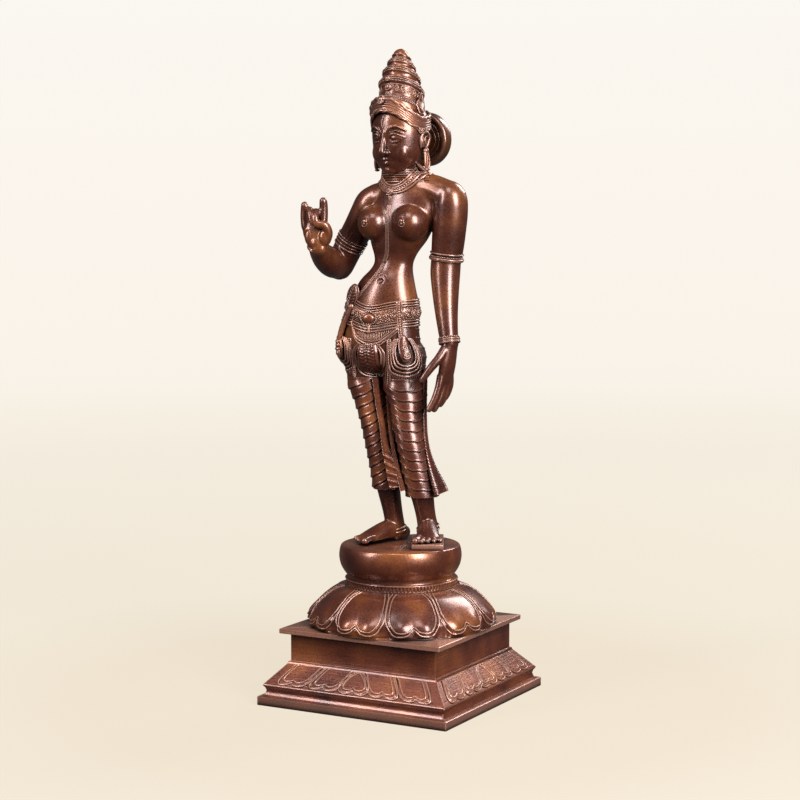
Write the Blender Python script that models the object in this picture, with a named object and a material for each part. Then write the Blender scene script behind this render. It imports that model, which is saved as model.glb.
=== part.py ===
"""A standing goddess in cast bronze on a lotus pedestal and a square plinth.

The figure faces -Y and its left hand is at +X. The origin is at the centre of
the plinth's underside. Sizes and places in the tables are in millimetres.
"""

import math

import bmesh
import bpy
from mathutils import Euler, Matrix, Vector
from mathutils.bvhtree import BVHTree

# Driving sizes
MM = 0.001
SEAT_GAP = 0.3
PLINTH_HALF = 100.0
PLINTH_TOP = 71.5
LOTUS_TOP = 146.5
FLOOR = LOTUS_TOP + SEAT_GAP

# Fineness of the cast figure
VOXEL = 1.0
BLEND_ROUNDS = 9
FINISH_ROUNDS = 1
FIGURE_TRIANGLES = 6150

# Plinth levels: half side and height, from the underside up
PLINTH_LEVELS = [
    (100.0, 0.0), (100.0, 8.5), (95.2, 9.3), (93.6, 13.5), (96.1, 18.1), (96.1, 19.4),
    (78.6, 38.6), (78.6, 40.0), (76.8, 40.4), (76.8, 66.7), (84.8, 67.0), (84.8, 71.5),
]
SLOPE_FOOT = Vector((96.1, 19.4))
SLOPE_HEAD = Vector((78.6, 38.6))
SLOPE_PETALS = 5
SLOPE_RELIEF = 1.1

# Lotus dome and bowl: radius and height
DOME_PROFILE = [
    (87.5, 71.8), (88.2, 75.0), (87.6, 79.0), (85.2, 84.4), (80.6, 91.0), (74.2, 97.6), (65.0, 104.2),
    (54.4, 108.0),
]
BOWL_CENTRE = (-1.6, 0.0)
BOWL_PROFILE = [
    (53.4, 108.4), (53.4, 114.8), (51.4, 115.8), (51.0, 118.5), (54.0, 122.5), (56.8, 128.0),
    (58.2, 135.0), (57.8, 141.0), (56.6, 145.3), (55.4, 146.5),
]
LOTUS_PETALS = 10
PETAL_STEPS = 10
BOWL_SIDES = 50

# Body tables: x, y, z, half width, half depth
TRUNK = [
    (-24.5, 11, 311, 33, 12), (-27.5, 10.5, 320, 42.0, 27.0), (-30, 10, 334, 42.5, 28.5),
    (-30, 10, 348, 40.5, 28), (-28.3, 10, 360, 38, 26.5), (-25, 9.5, 374, 35.5, 25),
    (-23, 9.0, 386, 31.2, 23.0), (-20.8, 9.8, 397, 26.4, 20.4), (-17.4, 11.4, 406, 21.0, 17.2),
    (-15.4, 12.5, 413, 19.4, 15.6), (-14.2, 13, 420, 21.4, 16), (-13.2, 13.5, 426, 24.6, 17.5),
    (-11.4, 14, 433, 28.6, 19), (-9.0, 14.5, 442, 31.4, 20.5), (-6.5, 15, 453, 34, 21),
    (-4.5, 15.5, 465, 35, 19.5), (-3, 15.5, 476, 33, 17), (-5, 15, 485, 26, 15),
    (-7.0, 14, 492, 20.5, 14.5), (-9.4, 13, 499, 16.4, 14.5), (-11, 13, 512, 15.0, 14.5),
]
YOKE = [
    (-46, 17.5, 466, 14, 14), (-30, 17, 475.5, 13.5, 13.5), (-12, 16.5, 482, 13, 13),
    (6, 16.5, 484, 13, 13), (25, 17, 481.5, 13.5, 13.5), (42, 17.5, 473.5, 14.5, 14.5),
]
RIGHT_UPPER_ARM = [
    (-36, 16.5, 474, 13.5, 13.5), (-43, 17, 468, 15.4, 15.4), (-50, 17.5, 457, 15.0, 15.0),
    (-58, 18, 444, 14.5, 14.5), (-66.5, 19, 431, 14.2, 14.2), (-75, 20, 417, 13.8, 13.8),
    (-80.5, 21, 408, 13.4, 13.4),
]
RIGHT_FOREARM = [
    (-82, 24, 409.5, 13.2, 13.2), (-81, 10, 411.0, 14.2, 14.2), (-79, -5, 415.5, 13.2, 13.2),
    (-77, -18, 421.0, 11.0, 11.0), (-74.8, -28, 426, 8.8, 9.2), (-73.2, -32.5, 431, 8.2, 8.4),
]
LEFT_UPPER_ARM = [
    (35, 16.5, 479, 13, 13), (41.3, 17.5, 473, 16.0, 16.0), (41.8, 18, 460, 16.4, 16.4),
    (40.4, 18.5, 445, 16.0, 16.0), (38.4, 19.5, 430, 15.4, 15.4), (36.4, 20, 415, 14.4, 14.4),
]
LEFT_FOREARM = [
    (36.4, 20, 418, 14.0, 14.0), (36.0, 19, 404, 14.2, 14.2), (37.8, 16, 387, 12.8, 12.8),
    (40.6, 12.5, 368, 11, 11), (44.2, 9, 350, 9.4, 9.6), (46.8, 7.5, 338, 8.4, 9.4),
]
RIGHT_LEG = [
    (-44, 10, 322, 20, 23), (-41.6, 9.5, 300, 19.0, 21.5), (-36.0, 9, 280, 15.8, 18),
    (-31.2, 8, 260, 13.6, 15.4), (-28.6, 8, 243, 12.2, 13.8), (-26.6, 10, 228, 11.6, 13.2),
    (-25, 13, 212, 11, 12.8), (-23.2, 16, 195, 10.4, 12.4), (-21.8, 19, 180, 9.2, 11.2),
    (-20.6, 21, 168, 8.8, 10.6), (-19.4, 22.5, 156, 9.0, 11.4), (-18.8, 23, 149, 9.0, 11.4),
]
LEFT_LEG = [
    (-4, 10, 322, 21, 24), (-1.8, 8.5, 300, 19.0, 21.5), (3.0, 6.3, 280, 15.0, 17.2),
    (5.2, 5, 260, 12.9, 14.8), (8.2, 4.5, 243, 11.9, 13.4), (10.2, 7, 228, 11.7, 13.2),
    (11.6, 10, 212, 11.8, 13), (13.8, 14, 195, 10.8, 12.4), (15.2, 17, 180, 9.4, 11),
    (16, 19, 170, 9.0, 10.6), (16.8, 21, 160, 9.4, 11.6), (17.0, 22, 152, 9.4, 11.8),
]

# Cloth wound on each leg: folds start at their level, their tilt rises to +X and +Y
WRAP_PITCH = 9.4
WRAP_DEPTH = 1.5
WRAP_CLOTH = 1.1
RIGHT_WRAP = {"table": RIGHT_LEG, "top": 318, "folds": 321, "hem": 196.5, "tilt": (9.0, 5.0), "sweep": 0.0,
              "flare": 2.2}
LEFT_WRAP = {"table": LEFT_LEG, "top": 318, "folds": 305, "hem": 191.5, "tilt": (-1.0, 1.0), "sweep": 6.5,
             "flare": 3.0}
SWEEP_SIDE = math.radians(209)

# Feet: heel, tip of the foot, side of the big toe, lift of the sole
RIGHT_FOOT = {"heel": (-15.5, 31), "tip": (-36.5, -25), "inner": 1, "lift": 1.2}
LEFT_FOOT = {"heel": (12.5, 29), "tip": (38.5, -20), "inner": -1, "lift": 5.0}
FOOT_RINGS = [
    (-0.01, 5.5, 6.4, 6.5), (0.08, 7.0, 8.4, 8.5), (0.22, 9.0, 8.8, 11.0), (0.40, 8.5, 9.4, 9.6),
    (0.58, 6.4, 10.8, 7.6), (0.72, 4.6, 11.6, 5.6), (0.79, 3.8, 11.2, 4.4),
]
TOES = [
    (1.00, 3.9, 4.4), (0.99, 3.0, 3.8), (0.955, 2.9, 3.6), (0.91, 2.8, 3.5), (0.855, 2.7, 3.4),
]

# Head: the chin's height above the neck axis, turn and nod; rings by height above the chin
HEAD_AT = Vector((-8.5, 13.5, 501))
HEAD_TURN = math.radians(-7)
HEAD_NOD = math.radians(3)
HEAD_RINGS = [
    (0.0, -13.4, -4.2, 4.4, 3.0), (0.0, -11.4, -2.2, 10.0, 8.0), (0.0, -8.6, 0.8, 14.8, 13.2),
    (0.0, -5.8, 4.8, 18.6, 17.8), (0.0, -3.2, 10.0, 22.0, 21.8), (0.0, -1.2, 16.5, 24.4, 24.8),
    (0.0, 0.6, 26.0, 26.0, 26.8), (0.0, 1.2, 35.0, 26.4, 27.6), (0.0, 1.6, 44.0, 25.6, 27.2),
    (0.0, 2.0, 52.0, 23.4, 25.0), (0.0, 2.0, 58.0, 18.5, 20.5), (0.0, 2.0, 63.0, 10.0, 11.5),
]
EYE_LINE = 29.0
EYE_APART = 10.4
EAR_SIDE = 26.0

# Crown: tiers stand high in front; the tiara arches over the brow and falls to the ears
CROWN_LEAN = math.radians(-7)
CROWN_SWAY = math.radians(-2.5)
CROWN_RAKE = 0.36
CROWN_BASE = Vector((-2.0, 6.0, 51))
CROWN_PROFILE = [
    (24.0, -6.0), (24.4, 0.5), (21.2, 5.0), (20.4, 14.0), (20.0, 19.6), (20.9, 20.8), (20.9, 24.4),
    (17.6, 27.4), (16.9, 31.2), (17.6, 32.4), (17.2, 35.8), (13.6, 38.8), (12.6, 41.6), (13.1, 42.8),
    (12.6, 45.8), (9.2, 48.6), (8.2, 50.2), (8.7, 51.4), (7.0, 55.8), (4.6, 58.4), (1.0, 60.6),
]
TIARA_WIDE = 26.2
TIARA_DEEP = 28.0
TIARA_TOP = 60.7
TIARA_FALL = 19.5
TIARA_ROWS = ((-4.5, -1.2, 1.8), (-1.5, 0.0, 1.7), (1.6, 0.4, 1.7), (4.4, 0.2, 1.6), (6.6, 0.0, 1.4))
HALO_RADIUS = 25.4
HALO_THICK = 12.5
HALO_AT = Vector((2.8, 40.0, 26.0))

# Lines laid on the body: centres the lines wrap around
HIP_AXIS = (-27, 10)
NECK_HEART = Vector((-9, 15, 478))
SIDE_TASSELS = (60, -60)
LEFT_STRAP = (((57, 377), (57, 362), (58.5, 348), (60.5, 338), (61, 320)), 2.4)
RIGHT_STRAP = (((-62, 372), (-65, 362), (-69, 350), (-72, 340), (-73, 330)), 3.2)


# Basic solids
def add_material(obj, name, colour, roughness):
    """Give the object its own metallic surface."""
    material = bpy.data.materials.new(name)
    material.use_nodes = True
    shader = material.node_tree.nodes["Principled BSDF"]
    shader.inputs["Base Color"].default_value = (*colour, 1.0)
    shader.inputs["Metallic"].default_value = 1.0
    shader.inputs["Roughness"].default_value = roughness
    obj.data.materials.append(material)


def skin(bm, rings, closed=False):
    """Join rings of equally many points into a tube with flat ends, or into a closed hoop."""
    rows = [[bm.verts.new(point) for point in ring] for ring in rings]
    pairs = list(zip(rows, rows[1:]))
    if closed:
        pairs.append((rows[-1], rows[0]))
    faces = []
    for low, high in pairs:
        for k, vert in enumerate(low):
            n = (k + 1) % len(low)
            faces.append(bm.faces.new((vert, low[n], high[n], high[k])))
    if not closed:
        faces.append(bm.faces.new(rows[0][::-1]))
        faces.append(bm.faces.new(rows[-1]))
    bmesh.ops.recalc_face_normals(bm, faces=faces)


def between(stations, t):
    """Value of every column at t, 0 to 1, on a smooth curve through the rows."""
    count = len(stations) - 1
    place = min(max(t, 0.0), 1.0) * count
    k = min(int(place), count - 1)
    f = place - k
    rows = [stations[min(max(k + step, 0), count)] for step in (-1, 0, 1, 2)]
    result = []
    for a, b, c, d in zip(*rows):
        slope_b = (c - a) / 2
        slope_c = (d - b) / 2
        cubic = 2 * b - 2 * c + slope_b + slope_c
        square = -3 * b + 3 * c - 2 * slope_b - slope_c
        result.append(((cubic * f + square) * f + slope_b) * f + b)
    return result


def spread(stations, spans):
    """Rows read off the smooth curve, with a number of spans between stations."""
    count = (len(stations) - 1) * spans
    return [between(stations, k / count) for k in range(count + 1)]


def frame_at(centres, k, hint):
    """Sideways, forward and along directions of a path at its point k."""
    along = (centres[min(k + 1, len(centres) - 1)] - centres[max(k - 1, 0)]).normalized()
    side = (hint - along * hint.dot(along)).normalized()
    return side, along.cross(side), along


def ellipse(centre, side, forward, wide, deep, sides):
    """Points of an ellipse about a centre."""
    angles = [math.tau * n / sides for n in range(sides)]
    return [centre + side * (math.cos(a) * wide) + forward * (math.sin(a) * deep) for a in angles]


def tube(bm, stations, sides=28, spans=4, hint=(1, 0, 0), level=False):
    """Skin an elliptical tube with domed ends over stations x, y, z, half width, half depth."""
    rows = spread(stations, spans)
    centres = [Vector(row[:3]) for row in rows]
    last = len(rows) - 1
    rings = []
    for k, row in enumerate(rows):
        side, forward, along = frame_at(centres, k, Vector(hint))
        if level:
            side, forward, along = Vector((1, 0, 0)), Vector((0, 1, 0)), Vector((0, 0, 1))
        dome = [(math.sin(a), math.cos(a)) for a in (0.0, 0.5, 1.0, 1.4)] if k in (0, last) else [(0, 1)]
        if k == 0:
            dome = [(-reach, size) for reach, size in dome[::-1]]
        for reach, size in dome:
            middle = centres[k] + along * (reach * min(row[3], row[4]))
            rings.append(ellipse(middle, side, forward, row[3] * size, row[4] * size, sides))
    skin(bm, rings)


def ball(bm, centre, radii, turn=(0, 0, 0), sides=28):
    """An ellipsoid, turned in degrees about its centre."""
    spin = Euler([math.radians(value) for value in turn]).to_matrix().to_4x4()
    place = Matrix.Translation(centre) @ spin @ Matrix.Diagonal((*radii, 1))
    bmesh.ops.create_uvsphere(bm, u_segments=sides, v_segments=sides // 2, radius=1, matrix=place)


def ribbon(bm, stations, normal, sides=24, spans=4, pleats=0, pleat_depth=0.0):
    """A flat strip over stations x, y, z, half width, half thickness, with optional pleats."""
    rows = spread(stations, spans)
    centres = [Vector(row[:3]) for row in rows]
    rings = []
    for k, row in enumerate(rows):
        facing, across, _ = frame_at(centres, k, Vector(normal))
        wave = pleat_depth * k / (len(rows) - 1)
        upper = []
        lower = []
        for n in range(sides + 1):
            place = 2 * n / sides - 1
            lift = wave * math.sin(place * math.pi * pleats)
            edge = row[4] * math.sqrt(max(1 - place ** 4, 0.04))
            base = centres[k] + across * (place * row[3]) + facing * lift
            upper.append(base + facing * edge)
            lower.append(base - facing * edge)
        rings.append(upper + lower[::-1])
    skin(bm, rings)


def hoop(bm, points, thick, sides=10, flat=1.0):
    """A closed ring through the points, flat times as tall as it is thick."""
    rings = []
    for k, point in enumerate(points):
        along = (points[(k + 1) % len(points)] - points[k - 1]).normalized()
        up = (Vector((0, 0, 1)) - along * along.z).normalized()
        rings.append(ellipse(point, along.cross(up), up, thick, thick * flat, sides))
    skin(bm, rings, closed=True)


def cord(bm, points, thick):
    """A raised line of round section through the points."""
    tube(bm, [(*point, thick, thick) for point in points], sides=10, spans=3, hint=(0.3, 0.2, 1))


def limb_band(bm, stations, t, proud, thick, flat=1.0):
    """A raised ring around a limb at t of its table."""
    x, y, z, wide, deep = between(stations, t)
    ends = [Vector(between(stations, t + step)[:3]) for step in (-0.02, 0.0, 0.02)]
    side, forward, _ = frame_at(ends, 1, Vector((1, 0, 0)))
    hoop(bm, ellipse(Vector((x, y, z)), side, forward, wide + proud, deep + proud, 36), thick, flat=flat)


def turned(bm, profile, place, sides=40):
    """Turn a profile of radius and height about the placed axis."""
    rings = []
    for radius, height in profile:
        ring = ellipse(Vector((0, 0, height)), Vector((1, 0, 0)), Vector((0, 1, 0)), radius, radius, sides)
        rings.append([place @ point for point in ring])
    skin(bm, rings)


def press(bm, spot, reach, push):
    """Move the surface near a spot by a push that fades out at its reach."""
    centre = Vector(spot)
    shift = Vector(push)
    for vert in bm.verts:
        gap = (vert.co - centre).length / reach
        if gap < 1:
            vert.co += shift * (1 - gap * gap) ** 2


def fuse(bm, rounds):
    """Melt overlapping solids into one skin and smooth it, and return it as a new mesh."""
    bmesh.ops.scale(bm, vec=(MM, MM, MM), verts=bm.verts)
    mesh = bpy.data.meshes.new("rough")
    bm.to_mesh(mesh)
    bm.free()
    rough = bpy.data.objects.new("rough", mesh)
    bpy.context.scene.collection.objects.link(rough)
    melt = rough.modifiers.new("melt", "REMESH")
    melt.mode = "VOXEL"
    melt.voxel_size = VOXEL * MM
    soften = rough.modifiers.new("soften", "SMOOTH")
    soften.factor = 0.5
    soften.iterations = rounds
    melted = bmesh.new()
    melted.from_mesh(evaluated(rough))
    bmesh.ops.scale(melted, vec=(1 / MM, 1 / MM, 1 / MM), verts=melted.verts)
    bpy.data.objects.remove(rough)
    return melted


def evaluated(obj):
    """The object's mesh after its modifiers, as a mesh of its own."""
    graph = bpy.context.evaluated_depsgraph_get()
    return bpy.data.meshes.new_from_object(obj.evaluated_get(graph))


# Laying lines on the body
def touch(surface, start, aim, lift):
    """Where a ray from start to aim first meets the body, lifted off it."""
    start = Vector(start)
    aim = Vector(aim)
    spot, normal, _, _ = surface.ray_cast(start, (aim - start).normalized())
    return spot + normal * lift if spot else aim


def front_spot(surface, x, z, lift=0.4):
    """A spot on the front of the body."""
    return touch(surface, (x, -90, z), (x, 40, z), lift)


def hip_spot(surface, degrees, z, lift=0.4):
    """A spot on the hips, at an angle from the front towards the figure's left."""
    a = math.radians(degrees)
    out = Vector((math.sin(a), -math.cos(a), 0))
    heart = Vector((*HIP_AXIS, z))
    return touch(surface, heart + out * 80, heart, lift)


def neck_spot(surface, degrees, drop, lift=0.4):
    """A spot on the neck's foot: low in front, high behind."""
    a = math.radians(degrees)
    rise = math.radians(-14 - drop + (30 + drop / 3) * (1 - math.cos(a)))
    out = Vector((math.sin(a) * math.cos(rise), -math.cos(a) * math.cos(rise), math.sin(rise)))
    return touch(surface, NECK_HEART + out * 60, NECK_HEART, lift)


def belt_line(surface, level, dip, slant, lift):
    """A line round the hips that dips in front and falls to the figure's left."""
    points = []
    for k in range(60):
        degrees = k * 6 - 180
        fall = dip * math.exp(-(degrees / 34) ** 2) + slant * math.sin(math.radians(degrees))
        points.append(hip_spot(surface, degrees, level - fall, lift))
    return points


# The bare body
def add_trunk(bm):
    """Trunk, shoulders, breasts and seat."""
    tube(bm, TRUNK, sides=44, level=True)
    tube(bm, YOKE, hint=(0, 0, 1))
    ball(bm, (8.2, 2.5, 450), (17.0, 18.6, 17))
    ball(bm, (-29.6, 1.5, 449.5), (16.4, 18.3, 16.6))
    ball(bm, (-46, 22, 322), (20, 20, 21))
    ball(bm, (-8, 22, 322), (20, 20, 21))


def add_skull(bm):
    """Head form on even proportions: nose a quarter up, chin and cheeks rounded."""
    tube(bm, HEAD_RINGS, sides=44, level=True)
    nose = [(0, -24.6, 34, 2.3, 2.4), (0, -26.2, 28, 1.9, 2.4), (0, -28.2, 22, 2.3, 2.8),
            (0, -30.0, 16.6, 3.1, 3.2), (0, -28.9, 14.2, 2.9, 2.2)]
    tube(bm, nose, sides=16)
    ball(bm, (0, -16.8, 0.0), (7.0, 5.6, 5.0))
    for side in (1, -1):
        ball(bm, (side * 11.0, -13.8, 15.4), (9.6, 9.2, 11.5))
        ball(bm, (side * 3.8, -26.6, 15.4), (2.5, 3.0, 2.1))
        ball(bm, (side * EAR_SIDE, 2.0, 25.2), (2.8, 5.4, 8.6), (0, 0, side * 12))


def sink_sockets(bm):
    """Hollow the eye sockets and the corners of the mouth."""
    for side in (1, -1):
        press(bm, (side * EYE_APART, -24.0, EYE_LINE), 8.4, (0, 3.2, 0))
        press(bm, (side * 7.6, -23.5, 8.0), 4.0, (0, 0.9, 0))


def add_face(bm):
    """Eyes half closed, brows and lips."""
    for side in (1, -1):
        ball(bm, (side * EYE_APART, -19.4, EYE_LINE), (7.2, 4.8, 3.8), (0, side * 3, side * 18))
        lid = [(side * 4.4, -23.9, EYE_LINE - 0.6), (side * 7.4, -24.9, EYE_LINE + 2.6),
               (side * 12.0, -23.6, EYE_LINE + 3.1), (side * 17.6, -18.9, EYE_LINE + 0.2)]
        cord(bm, lid, 0.95)
        brow = [(side * 3.4, -25.8, EYE_LINE + 4.0), (side * 8.0, -25.6, EYE_LINE + 8.0),
                (side * 13.6, -23.2, EYE_LINE + 8.6), (side * 19.4, -18.2, EYE_LINE + 5.0)]
        cord(bm, brow, 1.1)
        lips = [(0, -23.4, 9.0, 1.2, 2.1), (side * 2.6, -23.5, 9.6, 1.15, 2.1), (side * 7.2, -21.4, 8.4, 0.5, 1.1)]
        tube(bm, lips, sides=12, hint=(0, 0, 1))
    tube(bm, [(-6.2, -21.1, 7.7, 0.7, 1.1), (0, -23.0, 5.9, 1.75, 2.3), (6.2, -21.1, 7.7, 0.7, 1.1)],
         sides=12, hint=(0, 0, 1))


# Hands and feet
def add_finger(bm, joints, thick, taper=0.22):
    """One finger through its joints, thinner at the tip."""
    last = len(joints) - 1
    sizes = [thick * (1 - taper * k / last) for k in range(last + 1)]
    tube(bm, [(*joint, size, size) for joint, size in zip(joints, sizes)], sides=14)


def add_right_hand(bm):
    """The raised hand, palm forward, with two fingers bent to the thumb."""
    wrist = Vector((-71.4, -33.0, 428))
    out = Vector((math.sin(math.radians(16)), -math.cos(math.radians(16)), 0.08)).normalized()
    up = Vector((-0.04, 0, 1))
    up = (up - out * up.dot(out)).normalized()
    across = out.cross(up) * -1
    if across.x < 0:
        across.negate()

    def spot(x, y, z):
        return wrist + across * x + up * y + out * z

    palm = ((0.3, -3, 8.2, 6.6), (-1.0, 5, 10.2, 6.4), (-2.4, 13, 12.2, 5.8), (-2.8, 20, 12.4, 5.0), (-2.8, 23, 11.6, 4.2))
    tube(bm, [(*spot(x, y, 0), wide, deep) for x, y, wide, deep in palm], hint=across)
    ball(bm, spot(6.4, 8, 3.0), (5.5, 5.5, 8.0))
    ball(bm, spot(-8.0, 9, 2.4), (4.6, 4.6, 8.0))
    add_finger(bm, [spot(-11.8, 19, 0), spot(-12.6, 27, 0.5), spot(-12.4, 34, 1.5), spot(-11.8, 40, 3.0)], 3.6)
    add_finger(bm, [spot(-6.8, 20, 0), spot(-7.3, 28.5, 1.5), spot(-6.8, 34.5, 4), spot(-5.0, 30, 9), spot(-3, 22, 10)], 3.8)
    add_finger(bm, [spot(-1.4, 20, 0), spot(-1.2, 27, 1.5), spot(-0.6, 32.5, 4), spot(0, 27, 9.5), spot(0.8, 20, 10)], 3.9)
    add_finger(bm, [spot(4.2, 19, 0), spot(5.4, 28, 0.5), spot(6.2, 36.5, 1.5), spot(6.4, 43, 3.0)], 4.0)
    add_finger(bm, [spot(7.8, 5, 2), spot(11.8, 12, 5), spot(10.2, 19, 8.5), spot(3.4, 20.0, 10.5)], 4.4)


def add_left_hand(bm):
    """The hanging hand, thumb forward and fingers loose."""
    tube(bm, [(47.2, 8, 342, 8.0, 9.0), (46.4, 7.5, 332, 6.8, 10.0), (45.2, 6.8, 320, 6.4, 11.4),
              (43.6, 6.2, 309, 5.8, 11.4), (42.8, 6.0, 304, 5.2, 10.6)])
    add_finger(bm, [(42.6, -2.0, 308), (41.4, -4.6, 297), (38.8, -8.0, 286), (35.4, -11.6, 277.5)], 3.9)
    add_finger(bm, [(43.2, 3.4, 307), (42.2, 1.7, 295), (40.2, -1.6, 285), (37.2, -5.0, 277.0)], 3.9)
    add_finger(bm, [(43.8, 8.8, 307), (43.4, 8.2, 296), (41.8, 6.0, 287), (39.2, 3.0, 281)], 3.7)
    add_finger(bm, [(44.2, 13.6, 309), (44.4, 13.8, 300), (43.2, 12.2, 292.5), (41.4, 10.0, 287)], 3.4)
    add_finger(bm, [(45.2, 1.5, 333), (42.4, -5.0, 325), (37.2, -11.0, 316.5), (32.6, -15.2, 308.5), (30.6, -16.6, 305)],
               4.9, taper=0.42)


def add_foot(bm, foot):
    """A bare foot with five toes, its sole sunk a little under the floor."""
    heel = Vector((*foot["heel"], FLOOR + foot["lift"]))
    along = Vector((*foot["tip"], heel.z)) - heel
    ahead = along.normalized()
    inward = Vector((-ahead.y, ahead.x, 0)) * foot["inner"]
    up = Vector((0, 0, 1))
    rings = [(*(heel + along * t + up * (height - 1.2)), wide, deep) for t, height, wide, deep in FOOT_RINGS]
    tube(bm, rings, hint=inward)
    for k, (reach, thick, rise) in enumerate(TOES):
        place = 1 - k / 2
        root = heel + along * 0.66 + inward * (place * 7.0) + up * (rise + 0.2)
        middle = heel + along * (0.7 + reach) / 2 + inward * (place * 9.4) + up * (rise - 0.2)
        end = heel + along * (reach - 0.05) + inward * (place * 10.6) + up * (rise - 1.6)
        tube(bm, [(*root, thick * 0.8, thick * 0.8), (*middle, thick * 0.9, thick * 0.9), (*end, thick, thick)],
             sides=14, hint=inward)


def add_pad(bm):
    """The low pad under the left foot."""
    heel = Vector((*LEFT_FOOT["heel"], FLOOR))
    tip = Vector((*LEFT_FOOT["tip"], FLOOR))
    ahead = (tip - heel).normalized()
    lift = LEFT_FOOT["lift"]
    reach = (tip - heel).length + 7.5
    turn = Matrix.Rotation(math.atan2(ahead.y, ahead.x), 4, "Z")
    middle = (heel + tip) / 2 - ahead * 1.2
    place = Matrix.Translation(middle) @ turn @ Matrix.Diagonal((reach, 30.0, 2 * lift, 1))
    bmesh.ops.create_cube(bm, size=1, matrix=place)


# Dress and ornaments
def level_place(table, level):
    """How far along a table its height has fallen to a level."""
    low, high = 0.0, 1.0
    for _ in range(24):
        middle = (low + high) / 2
        if between(table, middle)[2] > level:
            low = middle
        else:
            high = middle
    return low


def add_wrap(bm, wrap):
    """Cloth wound on a leg in overlapping folds, with a flared hem."""
    rows = 110
    sides = 48
    rings = []
    for k in range(rows + 1):
        level = wrap["top"] + (wrap["hem"] - wrap["top"]) * k / rows
        x, y, _, wide, deep = between(wrap["table"], level_place(wrap["table"], level))
        flare = wrap["flare"] * (k / rows) ** 5
        ring = []
        for n in range(sides):
            a = math.tau * n / sides
            slope = wrap["tilt"][0] * math.cos(a) + wrap["tilt"][1] * math.sin(a)
            slope += wrap["sweep"] * max(math.cos(a - SWEEP_SIDE), 0) ** 3 + 0.9 * math.sin(3 * a + 0.6)
            fallen = wrap["folds"] - level + slope
            phase = fallen / WRAP_PITCH
            fold = WRAP_DEPTH * (phase % 1.0) if phase > 0 else WRAP_DEPTH * 0.5
            out = WRAP_CLOTH + fold + flare
            ring.append(Vector((x + math.cos(a) * (wide + out), y + math.sin(a) * (deep + out), level)))
        rings.append(ring)
    skin(bm, rings)


def add_necklaces(bm, surface):
    """Collars round the neck with a pendant, and the thread across the body."""
    for drop, thick in ((-16, 1.2), (-8, 1.4), (0, 1.5), (7, 1.2)):
        loop = [neck_spot(surface, k * 7.5, drop, 0.3) for k in range(48)]
        hoop(bm, loop, thick)
    ball(bm, front_spot(surface, -12.4, 471.5, 0.8), (3.0, 2.2, 5.0))
    path = [(-12, 466), (-12.2, 456), (-12.4, 446), (-13, 434), (-14.5, 422), (-18, 411), (-25, 399),
            (-34, 388), (-43, 378)]
    for shift in (-1.5, 1.5):
        cord(bm, [front_spot(surface, x + shift, z, 0.2) for x, z in path], 1.1)


def add_girdle(bm, surface):
    """The broad belt with its edge lines, studs and clasp."""
    for level, slant, thick, lift in ((379, 1.5, 1.4, 0.6), (374.6, 1.6, 1.2, 0.8), (369.5, 1.8, 3.0, -1.2),
                                      (364.5, 2.1, 3.0, -1.2), (359.6, 2.3, 1.2, 0.8), (355.6, 2.5, 1.5, 0.8)):
        hoop(bm, belt_line(surface, level, 7.5, slant, lift), thick)
    clasp = hip_spot(surface, 3, 361, 1.2)
    ball(bm, clasp, (6.8, 3.0, 5.6))
    ball(bm, clasp + Vector((0, -1.8, 0)), (3.6, 2.6, 3.2))


def add_drapes(bm, surface):
    """Swags, the apron, U-shaped folds and the looped tassels of the hips."""
    for drop, thick in ((0, 1.8), (4.2, 1.6)):
        swag = ((-40, 352), (-24, 345), (-8, 340.5), (8, 339.5), (22, 343), (38, 350))
        cord(bm, [hip_spot(surface, degrees, z - drop, 0.6) for degrees, z in swag], thick)
    apron = [(*hip_spot(surface, 3, z, lift), wide, 2.6) for z, lift, wide in
             ((338, 0.5, 11), (328, 1.2, 12.5), (316, 2.2, 13), (307, 2.5, 11.5), (303, 2.0, 8.5))]
    ribbon(bm, apron, normal=(0.05, -1, 0), sides=14)
    for side in (1, -1):
        for inner, outer, bottom, thick in ((24, 36, 304, 1.5), (27.5, 32.5, 310, 1.4)):
            loop = ((side * outer, 345), (side * outer, 325), (side * (outer - 1), bottom + 6),
                    (side * (inner + outer) / 2, bottom), (side * (inner + 1), bottom + 6), (side * inner, 325),
                    (side * inner, 340))
            cord(bm, [hip_spot(surface, degrees + 3, z, 0.7) for degrees, z in loop], thick)
    for centre in SIDE_TASSELS:
        for half, bottom, top, thick, lift in ((20, 300, 342, 1.6, 0.8), (14.5, 305, 344, 1.8, 1.5),
                                               (8.5, 311, 346, 2.2, 2.2)):
            loop = ((-0.55, top), (-0.95, top - 10), (-1.0, bottom + 14), (-0.72, bottom + 4), (0, bottom),
                    (0.72, bottom + 4), (1.0, bottom + 14), (0.95, top - 10), (0.55, top))
            cord(bm, [hip_spot(surface, centre + half * x, z, lift) for x, z in loop], thick)
    for strap, thick in (LEFT_STRAP, RIGHT_STRAP):
        cord(bm, [hip_spot(surface, degrees, z, 1.0) for degrees, z in strap], thick)
    for degrees, z, size in ((-73, 334, 4.2), (-73, 327, 3.6), (61, 318, 3.4)):
        ball(bm, hip_spot(surface, degrees, z, 1.2), (size, size, size * 0.9))
    leaf = [(*hip_spot(surface, degrees, z, lift), wide, 2.4) for degrees, z, lift, wide in
            ((-46, 395, 0.2, 2.2), (-50, 389, 1.2, 5.4), (-55, 381, 1.8, 6.4), (-61, 374, 1.6, 4.6), (-65, 370, 1.0, 2.4))]
    ribbon(bm, leaf, normal=(-0.8, -0.6, 0.1), sides=14)


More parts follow.
